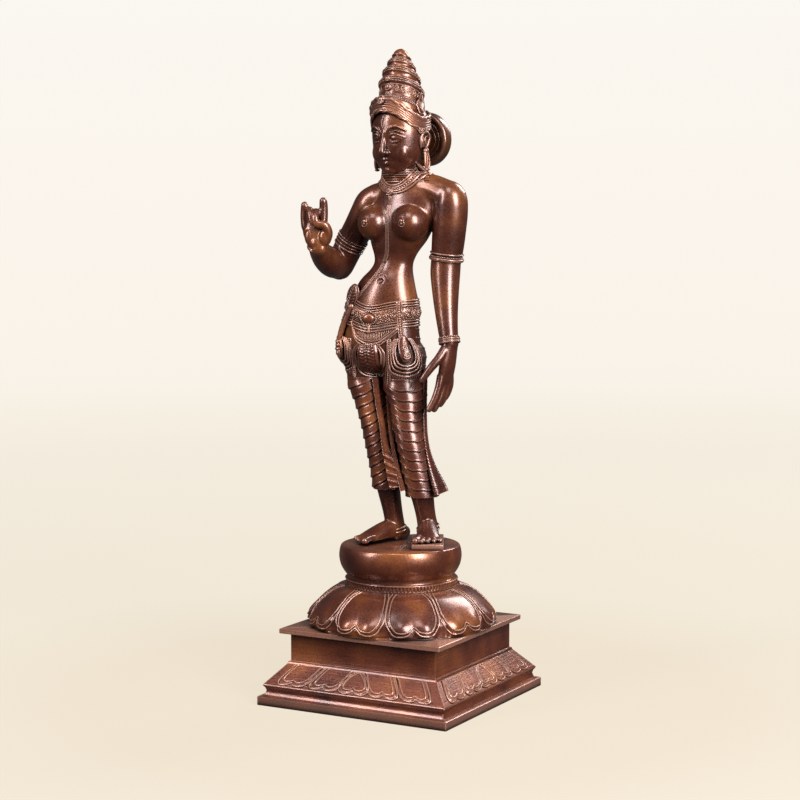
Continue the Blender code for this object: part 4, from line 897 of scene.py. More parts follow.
# Sashes: x, y, z, half width, half thickness
sashes = {
    "front": {
        "rows": [(-24.0, -8.6, 304, 3.0, 1.8), (-20.6, -8.0, 278, 2.7, 1.7), (-17.2, -7.6, 260, 2.8, 1.6),
                 (-14.4, -7.2, 241, 3.3, 1.6), (-10.4, -6.6, 227, 4.8, 1.6), (-5.8, -6.0, 212.5, 6.8, 1.6),
                 (-2.4, -5.6, 201, 8.0, 1.6)],
        "facing": (0.25, -1, 0), "pleats": 1, "depth": 0.5, "fan": (0.56, 0.7, 34, 1.9),
    },
    "strip": {
        "rows": [(-14, -3.0, 288, 1.6, 1.4), (-11.5, -3.6, 264, 1.7, 1.4), (-8.0, -4.4, 244, 1.9, 1.4),
                 (-4.0, -4.6, 226, 2.2, 1.4), (1.0, -4.8, 208, 2.6, 1.4), (4.0, -5.0, 198, 2.8, 1.3)],
        "facing": (0.35, -1, 0), "pleats": 1, "depth": 0.2, "fan": (2.0, 0.0, 0, 0),
    },
    "side": {
        "rows": [(19.4, 9, 312, 2.8, 2.0), (19.4, 8, 285, 2.6, 2.0), (20.0, 7.0, 266, 2.6, 2.0),
                 (21.2, 6.5, 250, 2.7, 1.9), (23.6, 7.0, 235, 3.2, 1.8), (28.2, 8.2, 219, 5.0, 1.7),
                 (34.2, 9.8, 204, 7.4, 1.6), (37.0, 10.6, 196, 8.2, 1.5)],
        "facing": (0.9, -0.5, 0.2), "pleats": 1, "depth": 0.5, "fan": (0.8, 0.1, 40, 0.0),
    },
    "back": {
        "rows": [(-26, 36, 344, 7.0, 3.0), (-25, 36.5, 322, 7.5, 3.0), (-23, 30, 290, 7.5, 2.8),
                 (-18, 25, 262, 7.0, 2.6), (-11, 25, 232, 8.0, 2.4), (-5, 27, 206, 9.5, 2.0)],
        "facing": (0, 1, 0), "pleats": 3, "depth": 1.4, "fan": (0.8, 0.4, 90, 0.0),
    },
}


def sash(target, cloth):
    rows = spread(cloth["rows"], 20)
    points = [Vector(row[:3]) for row in rows]
    places = []
    for k, row in enumerate(rows):
        facing, aside, _ = pathFrame(points, k, Vector(cloth["facing"]))
        places.append(ringPlace(points[k], aside, facing, row[3], row[4]))
    last = len(rows) - 1

    def pleat(k, x, y):
        grow = k / last
        wave = cloth["depth"] * (0.3 + 0.7 * grow) * math.sin(x * math.pi * cloth["pleats"])
        edge = math.sqrt(max(1 - x ** 4, 0.02)) * (1 if y >= 0 else -1)
        start, high, count, lean = cloth["fan"]  # folds across the flared end
        ripple = high * (1 - 1.6 * abs(math.sin(grow * count + lean * x))) * mix(grow, start, start + 0.05)
        ripple += 0.16 * math.sin(grow * 230 + 9 * x)
        rim = 0.3 * bump(abs(x) - 0.86, 0.06)
        return x, edge + (wave + ripple) / rows[k][4] + (rim if y >= 0 else -rim)

    loft(target, places, 80, shape=pleat)


sashPiece = bmesh.new()
for name in sashes:
    sash(sashPiece, sashes[name])
for side in (1, -1):  # the cloth's folds over the seat
    for k in range(6):
        level = 351 - 8.5 * k
        fold = [hipSpot(180 - side * degrees, level - 3.5 * math.sin(math.radians(degrees * 2)), 0.0)
                for degrees in (16, 32, 48, 64, 80, 94)]
        cord(sashPiece, fold, 0.9, sides=8, thin=0.3)
finishPiece("sashes", sashPiece, clothBronze, crease=70)

# Girdle: level at the side, half thickness, lift off the body
girdle = {
    "dip": 7.5, "dipWidth": 46, "slant": 2.0,
    "cords": [(380.0, 0.9, 0.5), (377.6, 0.8, 0.6), (375.4, 0.8, 0.7), (361.0, 0.8, 0.8), (358.4, 0.9, 0.8),
              (355.8, 1.0, 0.7)],
    "band": (368.2, 6.4, 0.2), "rosettes": (368.2, 34), "clasp": (3, 361),
}


def beltLine(level, lift, count=96):  # dips in front and falls to the figure's left
    points = []
    for k in range(count):
        degrees = k * 360 / count - 180
        slant = girdle["slant"] * math.sin(math.radians(degrees))
        fall = girdle["dip"] * bump(degrees, girdle["dipWidth"]) + slant
        points.append(hipSpot(degrees, level - fall, lift))
    return points


belt = bmesh.new()
level, reach, lift = girdle["band"]
hoop(belt, beltLine(level, lift), 1.5, sides=16, tall=reach / 1.5)
for level, thick, lift in girdle["cords"]:
    hoop(belt, beltLine(level, lift), thick, sides=10)
finishPiece("girdle", belt, clothBronze)

beltTrim = bmesh.new()
level, count = girdle["rosettes"]
line = beltLine(level, 1.5, count * 2)
for k, point in enumerate(line):
    out = (point - Vector((*hipAxis, point.z))).normalized()
    if k % 2:
        rosette(beltTrim, point, out, 3.1, petals=7)
        for rise in (3.9, -3.9):
            bead(beltTrim, point + Vector((0, 0, rise)) - out * 0.3, 0.8)
    else:
        for rise in (2.3, -2.3):
            scroll(beltTrim, point + Vector((0, 0, rise)), out, 2.1, 1.3, 0.42, flip=1 if k % 4 else -1)
beadRow(beltTrim, beltLine(373.4, 0.9, 120), 0.6, 1.5, closed=True)
beadRow(beltTrim, beltLine(363.0, 0.9, 120), 0.6, 1.5, closed=True)
clasp = hipSpot(*girdle["clasp"], 1.0)
facing = Vector((0.2, -1, 0)).normalized()
aside = Vector((1, 0.2, 0)).normalized()
ball(beltTrim, clasp + facing * 0.6, (8.8, 2.2, 7.0), (0, 0, 11), sides=32)
ball(beltTrim, clasp + facing * 2.4, (5.8, 2.8, 4.6), (0, 0, 11), sides=32)
for k in range(20):
    a = math.tau * k / 20
    bead(beltTrim, clasp + facing * 2.2 + aside * (7.6 * math.cos(a)) + upward * (6.0 * math.sin(a)), 0.9)
tab = [hipSpot(3, z, 1.2) for z in (356, 352, 348)]
cord(beltTrim, tab, 1.7)
cord(beltTrim, [point + Vector((0, -1.4, 0)) for point in tab], 0.5)
finishPiece("girdleOrnaments", beltTrim, jewelBronze)

# Hip drapery laid over the thighs, by angle round the hips and height
drapes = {
    "swagLine": [(-38, 357), (-26, 344), (-10, 338.5), (6, 337), (22, 338), (38, 343.5), (54, 351)],
    "swags": [(0, 1.3), (2.6, 0.8), (-2.4, 0.6)],
    "loopShape": [(-0.55, 0.98), (-0.95, 0.72), (-1.0, 0.38), (-0.76, 0.1), (0, 0), (0.76, 0.1), (1.0, 0.38),
                  (0.95, 0.72), (0.55, 0.98)],
    "tassels": [(63, 306.5, 342, 22), (-58, 310.0, 342, 23)],
    "rings": [(1.0, 1.0, 0.6, 0.9), (0.84, 0.9, 0.9, 1.4), (0.70, 1.1, 1.5, 1.9), (0.55, 0.9, 2.1, 2.3)],
    "frames": [(1, 33, 304.5, 338, 1.2), (1, 30, 306.6, 338, 0.7), (1, 26.5, 309, 337, 1.1)],
    "leftStrap": [(58, 376), (58, 366), (59, 357), (60, 348), (61, 341)],
    "rightStrap": [(-41, 371), (-48, 362), (-53, 353), (-56, 344), (-58, 335)],
    "leaf": ((-46, 380.0, 1.6), (8.2, 3.2, 13.0), (0, 22, -22)),
}


def loopLine(centre, half, bottom, top, lift):
    return [hipSpot(centre + half * x, bottom + (top - bottom) * z, lift) for x, z in drapes["loopShape"]]


def smoothLine(points, spans):
    return [Vector(row) for row in spread([tuple(point) for point in points], spans)]


drapePiece = bmesh.new()
drapeTrim = bmesh.new()
for drop, thick in drapes["swags"]:
    cord(drapePiece, [hipSpot(degrees, z - drop, 0.6) for degrees, z in drapes["swagLine"]], thick, spans=5)
swagRow = spread(drapes["swagLine"], 5)
for k in range(1, len(swagRow) - 1):
    degrees, z = swagRow[k]
    top = 352 + 0.12 * abs(degrees)
    if top - z > 4:
        cord(drapeTrim, [hipSpot(degrees, z + 1.5, 0.1), hipSpot(degrees * 0.94, top, 0.1)], 0.45, sides=6)
for centre, bottom, top, half in drapes["tassels"]:
    for scale, thick, lift, rise in drapes["rings"]:
        low = bottom + 3.6 * (rise - 0.9) / 0.5
        cord(drapePiece, loopLine(centre, half * scale, low, top, lift), thick, sides=12, spans=6)
    drop = [(top + 1, 1.2, 4.0), (top - 6, 2.0, 5.6), (bottom + 21, 2.3, 6.2), (bottom + 15.5, 1.6, 4.4)]
    tube(drapePiece, [(*hipSpot(centre, z, lift), 2.4, wide) for z, lift, wide in drop], sides=32,
         hint=hipSpot(centre, top, 5) - hipSpot(centre, top, 0))
    out = (hipSpot(centre, bottom + 22, 4) - hipSpot(centre, bottom + 22, 0)).normalized()
    for z, size in ((bottom + 19, 3.6), (bottom + 25.5, 2.6), (bottom + 31, 2.0)):
        scroll(drapeTrim, hipSpot(centre, z, 4.6), out, size, 1.6, 0.65)
    outer = smoothLine(loopLine(centre, half * 1.13, bottom - 2.8, top - 4, 0.2), 7)
    inner = smoothLine(loopLine(centre, half * 0.97, bottom + 1.0, top - 2, 1.0), 7)
    for start, end in zip(outer[3:-3], inner[3:-3]):
        cord(drapeTrim, [start, end], 0.55, sides=8, spans=1)
for centre, half, bottom, top, thick in drapes["frames"]:
    cord(drapePiece, loopLine(centre, half, bottom, top, 0.7), thick, sides=12, spans=6)
for degrees, bottom in ((41, 299), (-38, 306)):
    for shift, thick in ((-2.6, 0.8), (2.6, 0.8)):
        cord(drapePiece, [hipSpot(degrees + shift, z, 0.5) for z in (341, 330, 318, bottom)], thick)
    beadRow(drapeTrim, smoothLine([hipSpot(degrees, z, 0.7) for z in (341, 330, 318, bottom)], 8), 0.95, 1.9)
    ball(drapePiece, hipSpot(degrees, bottom - 1, 0.6), (1.6, 1.4, 3.0))
for shift in (-3.4, 3.4):
    cord(drapePiece, [hipSpot(degrees + shift, z, 1.0) for degrees, z in drapes["leftStrap"]], 1.0)
cord(drapePiece, [hipSpot(degrees, z, 0.6) for degrees, z in drapes["leftStrap"]], 1.8)
beadRow(drapeTrim, smoothLine([hipSpot(d, z, 1.9) for d, z in drapes["leftStrap"]], 6), 1.15, 2.2)
rope = [hipSpot(degrees, z, 2.6) for degrees, z in drapes["rightStrap"]]
cord(drapePiece, rope, 3.1, sides=18, thin=0.85, spans=6)
end = rope[-1]
for drop, size in ((-3.0, 3.9), (0.5, 3.9), (4.0, 4.2), (8.0, 3.4), (11.0, 2.0)):
    ball(drapePiece, end - upward * drop, (size, size, size * 0.6 if drop < 8 else size), sides=24)
(degrees, z, lift), (wide, thick, tall), turnLeaf = drapes["leaf"]
leafAt = hipSpot(degrees, z, lift)
ball(drapePiece, leafAt, (wide, thick, tall), turnLeaf, sides=40)
leafSpin = Euler([math.radians(value) for value in turnLeaf])
leafTurn = Matrix.Translation(leafAt) @ leafSpin.to_matrix().to_4x4()


def leafSpot(x, z):  # on the leaf's face, x and z as shares of its size
    y = -thick * math.sqrt(max(1 - x * x - z * z, 0.0))
    return leafTurn @ Vector((x * wide, y, z * tall))


rim = [leafSpot(0.86 * math.cos(math.tau * k / 24), 0.86 * math.sin(math.tau * k / 24)) for k in range(24)]
hoop(drapeTrim, smoothLine(rim, 1), 0.55, sides=8)
cord(drapeTrim, [leafSpot(0, z / 10) for z in (-8, -4, 0, 4, 8)], 0.6)
for z in (-0.62, -0.38, -0.14, 0.10, 0.34, 0.58):
    for side in (1, -1):
        reach = 0.62 * math.sqrt(1 - z * z)
        vein = [leafSpot(0, z - 0.06), leafSpot(side * reach * 0.55, z + 0.05),
                leafSpot(side * reach, z + 0.14)]
        cord(drapeTrim, vein, 0.42, sides=8)
finishPiece("drapery", drapePiece, clothBronze)

# The apron between the swag and the legs
apron = {
    "rows": [(336, 0.2, 9.5), (328, 0.8, 10.8), (318, 1.4, 11.2), (310, 1.6, 10.4), (306.5, 1.0, 8.4)],
    "centre": 1, "thick": 2.2,
}
apronRows = [(*hipSpot(apron["centre"], z, lift), wide, apron["thick"]) for z, lift, wide in apron["rows"]]
fine = spread(apronRows, 22)
points = [Vector(row[:3]) for row in fine]
places = []
for k, row in enumerate(fine):
    facing, aside, _ = pathFrame(points, k, Vector((0.05, -1, 0)))
    places.append(ringPlace(points[k], aside, facing, row[3], row[4]))


def apronShape(k, x, y):
    grow = k / (len(fine) - 1)
    edge = math.sqrt(max(1 - x ** 4, 0.04)) * (1 if y >= 0 else -1)
    field = 1 - mix(abs(x), 0.66, 0.76)
    weave = 0.11 * math.sin(grow * 96 + 1.6 * math.cos(x * 6) + 0.8 * math.sin(x * 13)) * field
    slit = -0.4 * bump(x, 0.06) * mix(grow, 0.08, 0.12) * (1 - mix(grow, 0.42, 0.46))
    border = 0.2 * bump(abs(x) - 0.84, 0.07)
    return x, edge + (weave + slit + border if y >= 0 else 0)


apronPiece = bmesh.new()
loft(apronPiece, places, 128, shape=apronShape)
knot = hipSpot(3, 336, 1.6)
ball(apronPiece, knot, (6.5, 1.8, 2.0), sides=28)
for swing in (-4, -2, 0, 2, 4):
    cord(apronPiece, [knot + Vector((swing, -1.2, 1.6)), knot + Vector((swing * 1.15, -1.4, -1.8))], 0.5,
         sides=8)
finishPiece("apron", apronPiece, clothBronze, crease=70)
finishPiece("draperyOrnaments", drapeTrim, jewelBronze)
print("hips done")

# Collars, pendant and the thread across the body
neck = {
    "collars": [(-25, 1.2), (-17.5, 1.3), (-5.5, 1.4), (2, 1.3)], "beads": [(-11.5, 1.15)],
    "choker": [488.6, 490.8, 493.0, 495.2, 497.4, 499.6],
}


def collarLine(drop, lift, count=72):
    return [neckSpot(k * 360 / count, drop, lift) for k in range(count)]


collars = bmesh.new()
for drop, thick in neck["collars"]:
    hoop(collars, collarLine(drop, 0.3), thick, sides=10)
for drop, size in neck["beads"]:
    beadRow(collars, collarLine(drop, 0.5), size, size * 2.1, closed=True)
for level in neck["choker"]:
    ring = []
    for k in range(60):
        a = math.tau * k / 60
        start = Vector((-9.5 + 40 * math.cos(a), 13 + 40 * math.sin(a), level))
        ring.append(touch(start, (-9.5, 13, level), 0.2))
    hoop(collars, ring, 0.85, sides=8)
pendant = frontSpot(-12.4, 478.5, 1.0)
ball(collars, pendant, (4.0, 2.0, 4.4))
scroll(collars, pendant + Vector((0, -2.0, 0.6)), Vector((0, -1, 0)), 3.2, 1.6, 0.65)
ball(collars, pendant + Vector((0, 0.2, -5.4)), (2.2, 1.6, 3.4))
cord(collars, [pendant + Vector((0, -1.2, -3.6)), pendant + Vector((0, -1.0, -7.6))], 0.7)
finishPiece("collars", collars, jewelBronze)

thread = bmesh.new()
threadPath = [(-12, 466), (-12.2, 456), (-12.4, 446), (-13, 434), (-14.5, 422), (-18, 411), (-25, 399),
              (-34, 388), (-43, 378)]
for shift in (-1.5, 0.0, 1.5):
    cord(thread, [frontSpot(x + shift, z, 0.1) for x, z in threadPath], 0.75)
for radius in (4.2, 6.4):
    turns = [math.radians(a) for a in range(20, 161, 20)]
    arc = [frontSpot(-17.0 + radius * math.cos(a), 396 + radius * math.sin(a), 0.0) for a in turns]
    cord(thread, arc, 0.45, sides=8, thin=0.4)
for x, z in ((8.2, 449.5), (-31.5, 449.5)):
    ball(thread, frontSpot(x, z, 0.2), (1.3, 1.3, 1.3))
    turns = [math.tau * k / 20 for k in range(20)]
    ring = [frontSpot(x + 2.8 * math.cos(a), z + 2.8 * math.sin(a), 0.0) for a in turns]
    hoop(thread, ring, 0.45, sides=8)
finishPiece("thread", thread, clothBronze)

# Rings on the limbs: limb, place along it, proud of it, half thickness
bands = [
    ("rightUpperArm", 0.64, 0.2, 0.9), ("rightUpperArm", 0.675, 0.3, 0.6), ("rightUpperArm", 0.71, 0.2, 0.9),
    ("leftUpperArm", 0.90, 0.4, 0.9), ("leftUpperArm", 0.965, 0.9, 1.3), ("leftUpperArm", 0.985, 0.9, 0.9),
    ("leftForearm", 0.92, 0.5, 1.1), ("leftForearm", 0.945, 0.6, 0.7), ("leftForearm", 0.975, 0.5, 1.2),
    ("rightForearm", 0.90, 0.4, 1.1), ("rightForearm", 0.94, 0.4, 0.8),
    ("rightLeg", 0.895, 0.5, 0.8), ("rightLeg", 0.925, 0.5, 0.9), ("leftLeg", 0.895, 0.5, 0.8),
    ("leftLeg", 0.925, 0.5, 0.9),
]


def limbRing(name, place, proud, count=48):
    rows = body[name]
    x, y, z, wide, deep = between(rows, place)
    points = [Vector(between(rows, place + step)[:3]) for step in (-0.02, 0.0, 0.02)]
    side, forward, _ = pathFrame(points, 1, across)
    ring = []
    for k in range(count):
        a = math.tau * k / count
        out = side * (math.cos(a) * (wide + proud)) + forward * (math.sin(a) * (deep + proud))
        ring.append(Vector((x, y, z)) + out)
    return ring


rings = bmesh.new()
for name, place, proud, thick in bands:
    hoop(rings, limbRing(name, place, proud), thick, sides=10)
for name, place in (("leftUpperArm", 0.935), ("rightUpperArm", 0.61), ("leftForearm", 0.89)):
    beadRow(rings, limbRing(name, place, 0.5, 60), 0.7, 1.7, closed=True)
finishPiece("limbRings", rings, jewelBronze)
print("figure done")


# Lotus pedestal: radius and height
lotus = {
    "dome": [(87.5, 71.8), (88.2, 75.0), (87.6, 79.0), (85.2, 84.4), (80.6, 91.0), (74.2, 97.6),
             (65.0, 104.2), (54.4, 108.0)],
    "neck": [(53.6, 108.3), (53.6, 109.2), (52.6, 109.8), (52.6, 113.6), (53.6, 114.2), (53.4, 115.2),
             (51.4, 115.8)],
    "bowl": [(51.0, 118.5), (54.0, 122.5), (56.8, 128.0), (58.2, 135.0), (57.8, 141.0), (56.6, 145.3),
             (55.4, 146.5)],
    "bowlShift": (-1.6, 0.0), "petals": 10, "sides": 480, "mills": 96,
    "lines": [(1.8, 0.85), (5.2, 0.75)],
    "lineShape": [(-1.0, 1.0), (-1.0, 0.8), (-1.0, 0.6), (-1.0, 0.42), (-0.98, 0.28), (-0.90, 0.14),
                  (-0.72, 0.02), (-0.46, 0.0), (-0.22, 0.03), (0.0, 0.12)],
}


def petalHalf(radius):
    return radius * math.pi / lotus["petals"]


def petalFoot(x):  # height of the lobed foot at x
    return 1.8 + 4.4 * bump(x, 3.0) + 0.11 * max(abs(x) - 12, 0) ** 2


def petalRise(x, q, half):  # relief at x from the petal's middle and q up from the foot
    sideGap = half - 3.4 - abs(x)
    m = -1.6 * math.log(math.exp(-sideGap / 1.6) + math.exp(-(q - petalFoot(x)) / 1.6))
    lobe = bump(abs(x) - half * 0.42, half * 0.28) * bump(q - 12, 8.5)
    inside = mix(m, -0.6, 0.8)
    hollow = (1 - mix(m, -2.4, -0.4)) * (1 - mix(q, 5, 14)) * mix(abs(x), half - 9, half - 4)
    return 0.6 * inside + 2.3 * lobe * inside - 2.0 * hollow - 0.3


pedestal = bmesh.new()
domeRows = spread(lotus["dome"], 11)
profile = [(r, z) for r, z in domeRows] + [tuple(row) for row in spread(lotus["neck"], 3)]
profile += [tuple(row) for row in spread(lotus["bowl"], 5)]
rise = [0.0]
for (r0, z0), (r1, z1) in zip(profile, profile[1:]):
    rise.append(rise[-1] + math.hypot(r1 - r0, z1 - z0))
places = []
for k, (radius, height) in enumerate(profile):
    f = mix(height, 112, 120)
    shift = Vector((lotus["bowlShift"][0] * f, lotus["bowlShift"][1] * f, height))
    places.append(Matrix.Translation(shift) @ Matrix.Diagonal((radius, radius, 1, 1)))
domeCount = len(domeRows)
domeTop = rise[domeCount - 1]


def lotusShape(k, x, y):
    radius, height = profile[k]
    a = math.atan2(y, x) + math.pi
    out = 0.0
    if k < domeCount:
        pitch = math.tau / lotus["petals"]
        s = (a / pitch) % 1.0 * 2 - 1
        half = radius * pitch / 2
        out = petalRise(s * half, rise[k], half) * mix(rise[k], 0, 1.5)
        out *= 1 - mix(rise[k], domeTop - 4, domeTop)
    elif 109.6 < height < 113.9:
        out = 0.75 * abs(math.sin(a * lotus["mills"] / 2)) - 0.2
    f = 1 + out / radius
    return x * f, y * f


loft(pedestal, places, lotus["sides"], shape=lotusShape)
finishPiece("lotusPedestal", pedestal, lotusBronze, replaced="lotus_pedestal", crease=55)


def domeSpot(number, x, q, lift):  # on the dome, x from a petal's middle and q up from the foot
    k = 0
    while k < domeCount - 2 and rise[k + 1] < q:
        k += 1
    f = (q - rise[k]) / (rise[k + 1] - rise[k])
    radius = profile[k][0] + (profile[k + 1][0] - profile[k][0]) * f
    height = profile[k][1] + (profile[k + 1][1] - profile[k][1]) * f
    half = petalHalf(radius)
    a = math.tau * (number + 0.5) / lotus["petals"] - math.pi + x / radius
    out = radius + petalRise(x, q, half) * (1 - mix(q, domeTop - 4, domeTop)) + lift
    return Vector((out * math.cos(a), out * math.sin(a), height))


petalLines = bmesh.new()
shapes = lotus["lineShape"]
shapes = shapes + [(-x, y) for x, y in shapes[-2::-1]]
for number in range(lotus["petals"]):
    for inset, thick in lotus["lines"]:
        points = []
        for s, share in spread(shapes, 5):
            q = 1.6 + inset * (1 - share) + share * (domeTop - 2.2)
            near = min(max(int(q / domeTop * (domeCount - 1)), 0), domeCount - 1)
            half = petalHalf(profile[near][0]) - inset
            points.append(domeSpot(number, s * half, q, 0.3))
        cord(petalLines, points, thick, sides=8, spans=1)
finishPiece("petalLines", petalLines, lineBronze)

# Square plinth: half side and height
plinth = {
    "levels": [(99.6, 0.0), (100.0, 0.5), (100.0, 8.0), (99.5, 8.5), (95.4, 9.3), (94.6, 10.4), (93.6, 13.5),
               (94.4, 16.2), (95.8, 18.0), (96.1, 18.4), (96.1, 19.2), (95.7, 19.8)],
    "slope": [(95.7, 19.8), (79.4, 37.8)],
    "upper": [(78.9, 38.4), (78.6, 39.8), (77.0, 40.4), (76.8, 41.0), (76.8, 66.4), (77.2, 66.9),
              (84.4, 67.0), (84.8, 67.4), (84.8, 71.1), (84.4, 71.5)],
    "slopeRows": 40, "cuts": 230,
    "petals": [  # foot middle, foot half width, head middle, head half width
        (0.0, 16.6, 0.0, 3.4), (34.2, 16.6, 20.0, 15.8), (-34.2, 16.6, -20.0, 15.8), (68.4, 16.6, 53.0, 16.2),
        (-68.4, 16.6, -53.0, 16.2)],
    "lines": [(0.3, 1.0), (3.9, 0.9)], "pad": 1.5,
    "ogee": [(-0.75, 1.0), (-1.05, 0.93), (-1.08, 0.78), (-1.04, 0.58), (-1.0, 0.36), (-0.95, 0.17),
             (-0.76, 0.03), (-0.46, 0.0), (-0.2, 0.035), (0.0, 0.12)],
    "open": [(-1.0, 1.0), (-1.0, 0.85), (-1.0, 0.7), (-1.0, 0.5), (-0.99, 0.34), (-0.93, 0.16), (-0.74, 0.03),
             (-0.46, 0.0), (-0.2, 0.035), (0.0, 0.12)],
}


def slopeHalf(k, share):  # middle and half width of a slope petal, at a share of the height
    foot, footHalf, headAt, headHalf = plinth["petals"][k]
    swell = 4.0 * math.sin(math.pi * share) if k == 0 else 0.0
    return foot + (headAt - foot) * share, footHalf + (headHalf - footHalf) * share + swell


def slopeRise(x, v, length):  # low pads inside the petals
    best = 0.0
    for k in range(len(plinth["petals"])):
        middle, half = slopeHalf(k, v / length)
        away = abs(x - middle)
        if away < half:
            foot = 1.8 + 2.2 * bump(away, 2.8) + 0.12 * max(away - 9, 0) ** 2
            m = min(half - away - 0.6, v - foot)
            best = max(best, plinth["pad"] * mix(m, 0, 1.4))
    return best


base = bmesh.new()
slopeRows = spread(plinth["slope"], plinth["slopeRows"])
levels = plinth["levels"] + [tuple(row) for row in slopeRows[1:]] + plinth["upper"]
slopeStart = len(plinth["levels"]) - 1
(footHalf, footHeight), (headHalf, headHeight) = plinth["slope"]
slopeOut = Vector((headHeight - footHeight, footHalf - headHalf))
slopeLength = slopeOut.length
slopeOut.normalize()
bmesh.ops.create_circle(base, cap_ends=True, radius=math.sqrt(2), segments=4,
                        matrix=Matrix.Rotation(math.pi / 4, 4, "Z"))
bmesh.ops.bevel(base, geom=base.verts[:], offset=0.006, segments=3, profile=0.5, affect="VERTICES",
                material=-1)
longEdges = [edge for edge in base.edges if edge.calc_length() > 1]
bmesh.ops.subdivide_edges(base, edges=longEdges, cuts=plinth["cuts"])
places = [Matrix.Translation((0, 0, height)) @ Matrix.Diagonal((half, half, 1, 1)) for half, height in levels]
bmesh.ops.transform(base, matrix=places[0], verts=base.verts)
edges = [edge for edge in base.edges if edge.is_boundary]
sloping = []
for k, (before, after) in enumerate(zip(places, places[1:])):
    grown = bmesh.ops.extrude_edge_only(base, edges=edges)["geom"]
    ring = [item for item in grown if isinstance(item, bmesh.types.BMVert)]
    known = set(ring)
    lines = [item for item in grown if isinstance(item, bmesh.types.BMEdge)]
    edges = [edge for edge in lines if edge.verts[0] in known and edge.verts[1] in known]
    bmesh.ops.transform(base, matrix=after @ before.inverted(), verts=ring)
    number = k + 1 - slopeStart
    if 0 < number < plinth["slopeRows"]:
        sloping.append((slopeLength * number / plinth["slopeRows"], levels[k + 1][0], ring))
bmesh.ops.contextual_create(base, geom=edges)
for v, half, ring in sloping:
    for vert in ring:
        x, y = vert.co.x, vert.co.y
        fade = mix(half - min(abs(x), abs(y)), 0.3, 1.6) * mix(v, 0, 1) * mix(slopeLength - v, 0, 1)
        if abs(y) > abs(x):
            rise = slopeRise(x, v, slopeLength) * fade
            vert.co += Vector((0, slopeOut.x * math.copysign(rise, y), slopeOut.y * rise))
        else:
            rise = slopeRise(y, v, slopeLength) * fade
            vert.co += Vector((slopeOut.x * math.copysign(rise, x), 0, slopeOut.y * rise))
bmesh.ops.recalc_face_normals(base, faces=base.faces)
finishPiece("squarePlinth", base, plinthBronze, replaced="square_plinth", crease=40)

slopeLines = bmesh.new()
along = Vector((0, footHalf - headHalf, headHeight - footHeight)).normalized()
outward = Vector((0, -slopeOut.x, slopeOut.y))
for k in range(len(plinth["petals"])):
    shapes = plinth["open" if k else "ogee"]
    shapes = shapes + [(-s, share) for s, share in shapes[-2::-1]]
    for inset, thick in plinth["lines"]:
        points = []
        for s, share in spread(shapes, 4):
            v = 1.2 + inset * (1 - share) + share * (slopeLength - 2.2)
            middle, half = slopeHalf(k, v / slopeLength)
            lift = slopeRise(middle + s * (half - inset), v, slopeLength) * 0.6 + 0.35
            flat = Vector((middle + s * max(half - inset, 0.4), -footHalf, footHeight))
            points.append(flat + along * v + outward * lift)
        for side in range(4):
            turned90 = Matrix.Rotation(side * math.pi / 2, 3, "Z")
            cord(slopeLines, [turned90 @ point for point in points], thick, sides=8, spans=1)
finishPiece("slopeLines", slopeLines, lineBronze)


# Camera, light and floor, in metres
stage = {
    "azimuth": 28.945, "distance": 1.8789, "height": 0.46267, "pitch": 5.445, "yaw": 0.0554,
    # paper: the backdrop's painted glow, dimmer near the middle of the floor and brighter up the wall; glow:
    # its strength
    "paper": [(0.0, (0.790, 0.705, 0.570)), (0.06, (0.825, 0.755, 0.635)), (0.675, (0.930, 0.880, 0.783)),
              (0.91, (0.956, 0.900, 0.835)), (0.98, (0.956, 0.930, 0.871))],
    "floor": 3.3, "curve": 0.6, "glow": 0.985, "world": ((0.95, 0.96, 1.0), 0.08),
    "lamps": [  # azimuth, elevation, distance, width, height, watts, colour
        (66, 24, 1.5, 0.60, 1.1, 56, (1.0, 0.98, 0.97)),
        (-32, 26, 1.9, 0.40, 1.2, 34, (1.0, 0.97, 0.98)),
        (15, 58, 1.8, 0.7, 0.7, 13, (1.0, 0.98, 0.96)),
        (165, 35, 1.9, 0.5, 1.0, 24, (1.0, 0.98, 0.96)),
    ],
    "aim": (0.0, 0.0, 0.33),
}


def away(azimuth, elevation):  # from the object towards a viewpoint
    a, e = math.radians(azimuth), math.radians(elevation)
    return Vector((math.sin(a) * math.cos(e), -math.cos(a) * math.cos(e), math.sin(e)))


camera = bpy.data.objects.new("camera", bpy.data.cameras.new("camera"))
bpy.context.scene.collection.objects.link(camera)
turn = math.radians(stage["azimuth"] + stage["yaw"])
pitch = math.radians(stage["pitch"])
look = Vector((-math.sin(turn) * math.cos(pitch), math.cos(turn) * math.cos(pitch), -math.sin(pitch)))
right = Vector((math.cos(turn), math.sin(turn), 0))
camera.matrix_world = Matrix((right, right.cross(look), -look)).transposed().to_4x4()
camera.location = away(stage["azimuth"], 0) * stage["distance"] + Vector((0, 0, stage["height"]))
camera.data.lens = 90
camera.data.sensor_width = 36
bpy.context.scene.camera = camera

for k, (azimuth, elevation, distance, width, height, watts, colour) in enumerate(stage["lamps"]):
    lamp = bpy.data.lights.new("lamp" + str(k), "AREA")
    lamp.shape = "RECTANGLE"
    lamp.size, lamp.size_y = width, height
    lamp.energy = watts
    lamp.color = colour
    holder = bpy.data.objects.new("lamp" + str(k), lamp)
    bpy.context.scene.collection.objects.link(holder)
    holder.location = Vector(stage["aim"]) + away(azimuth, elevation) * distance
    holder.rotation_euler = away(azimuth, elevation).to_track_quat("Z", "Y").to_euler()

world = bpy.data.worlds.new("world")
world.use_nodes = True
colour, strength = stage["world"]
world.node_tree.nodes["Background"].inputs["Color"].default_value = (*colour, 1)
world.node_tree.nodes["Background"].inputs["Strength"].default_value = strength
bpy.context.scene.world = world
bpy.context.scene.view_settings.view_transform = "Standard"

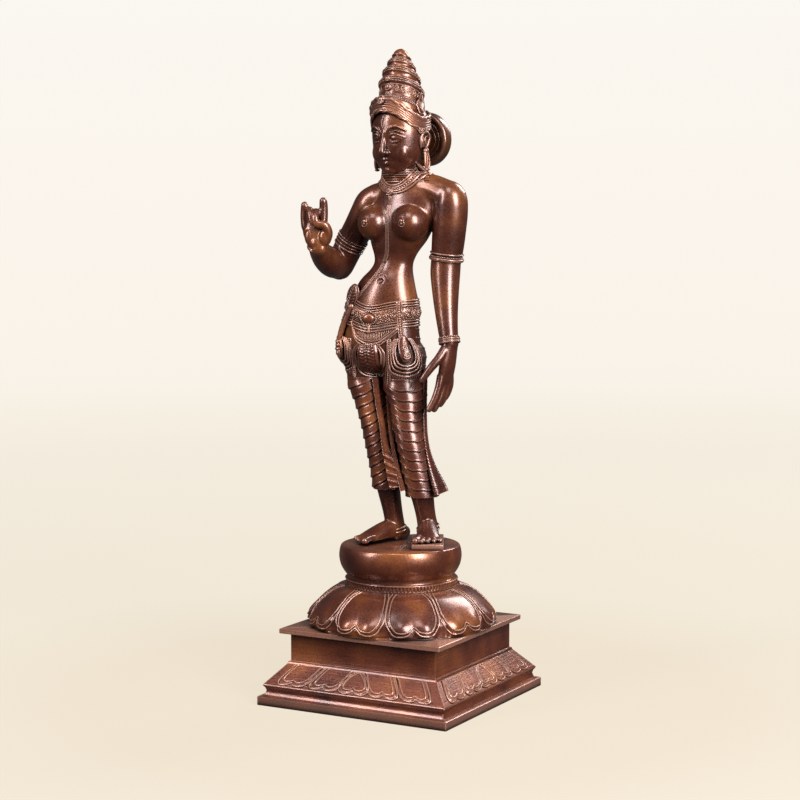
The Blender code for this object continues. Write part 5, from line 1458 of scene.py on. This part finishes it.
sweep = bmesh.new()  # a round floor that curves up into a wall
reach = stage["floor"]
level = 0.0
bmesh.ops.create_circle(sweep, cap_ends=True, cap_tris=True, radius=reach, segments=64)
edges = [edge for edge in sweep.edges if edge.is_boundary]
curve = [(stage["floor"] + stage["curve"] * math.sin(math.radians(7.5 * k)),
          stage["curve"] * (1 - math.cos(math.radians(7.5 * k)))) for k in range(1, 13)]
for radius, height in curve + [(curve[-1][0], 6.0)]:
    grown = bmesh.ops.extrude_edge_only(sweep, edges=edges)["geom"]
    fresh = [item for item in grown if isinstance(item, bmesh.types.BMVert)]
    known = set(fresh)
    edges = [item for item in grown if isinstance(item, bmesh.types.BMEdge) and known.issuperset(item.verts)]
    bmesh.ops.scale(sweep, vec=(radius / reach, radius / reach, 1), verts=fresh)
    bmesh.ops.translate(sweep, vec=(0, 0, height - level), verts=fresh)
    reach, level = radius, height
sweepMesh = bpy.data.meshes.new("paper")
sweep.to_mesh(sweepMesh)
sweep.free()
sweepMesh.shade_smooth()
paperMaterial = bpy.data.materials.new("paper")
paperMaterial.use_nodes = True
tree = paperMaterial.node_tree
paperShader = tree.nodes["Principled BSDF"]
# Painted light: the backdrop glows by itself, dimmer near the middle of the floor and brighter towards the
# wall.
place = addNode(tree, "ShaderNodeTexCoord").outputs["Object"]
spot = addNode(tree, "ShaderNodeMapping", {"Vector": place, "Scale": (1, 1, 1.6)}).outputs["Vector"]
fromHeart = addNode(tree, "ShaderNodeVectorMath", {0: spot}, operation="LENGTH").outputs["Value"]
share = addNode(tree, "ShaderNodeMapRange", {"Value": fromHeart, "From Min": 0.3, "From Max": 4.3})
paperGlowColour = rampNode(tree, share.outputs["Result"], stage["paper"])
tree.links.new(paperGlowColour, paperShader.inputs["Emission Color"])
paperShader.inputs["Emission Strength"].default_value = stage["glow"]
paperShader.inputs["Base Color"].default_value = (0.05, 0.045, 0.04, 1)
paperShader.inputs["Roughness"].default_value = 0.95
paperShader.inputs["Specular IOR Level"].default_value = 0.0
sweepMesh.materials.append(paperMaterial)
paper = bpy.data.objects.new("paper", sweepMesh)
bpy.context.scene.collection.objects.link(paper)
paper.visible_glossy = False
paper.visible_diffuse = False
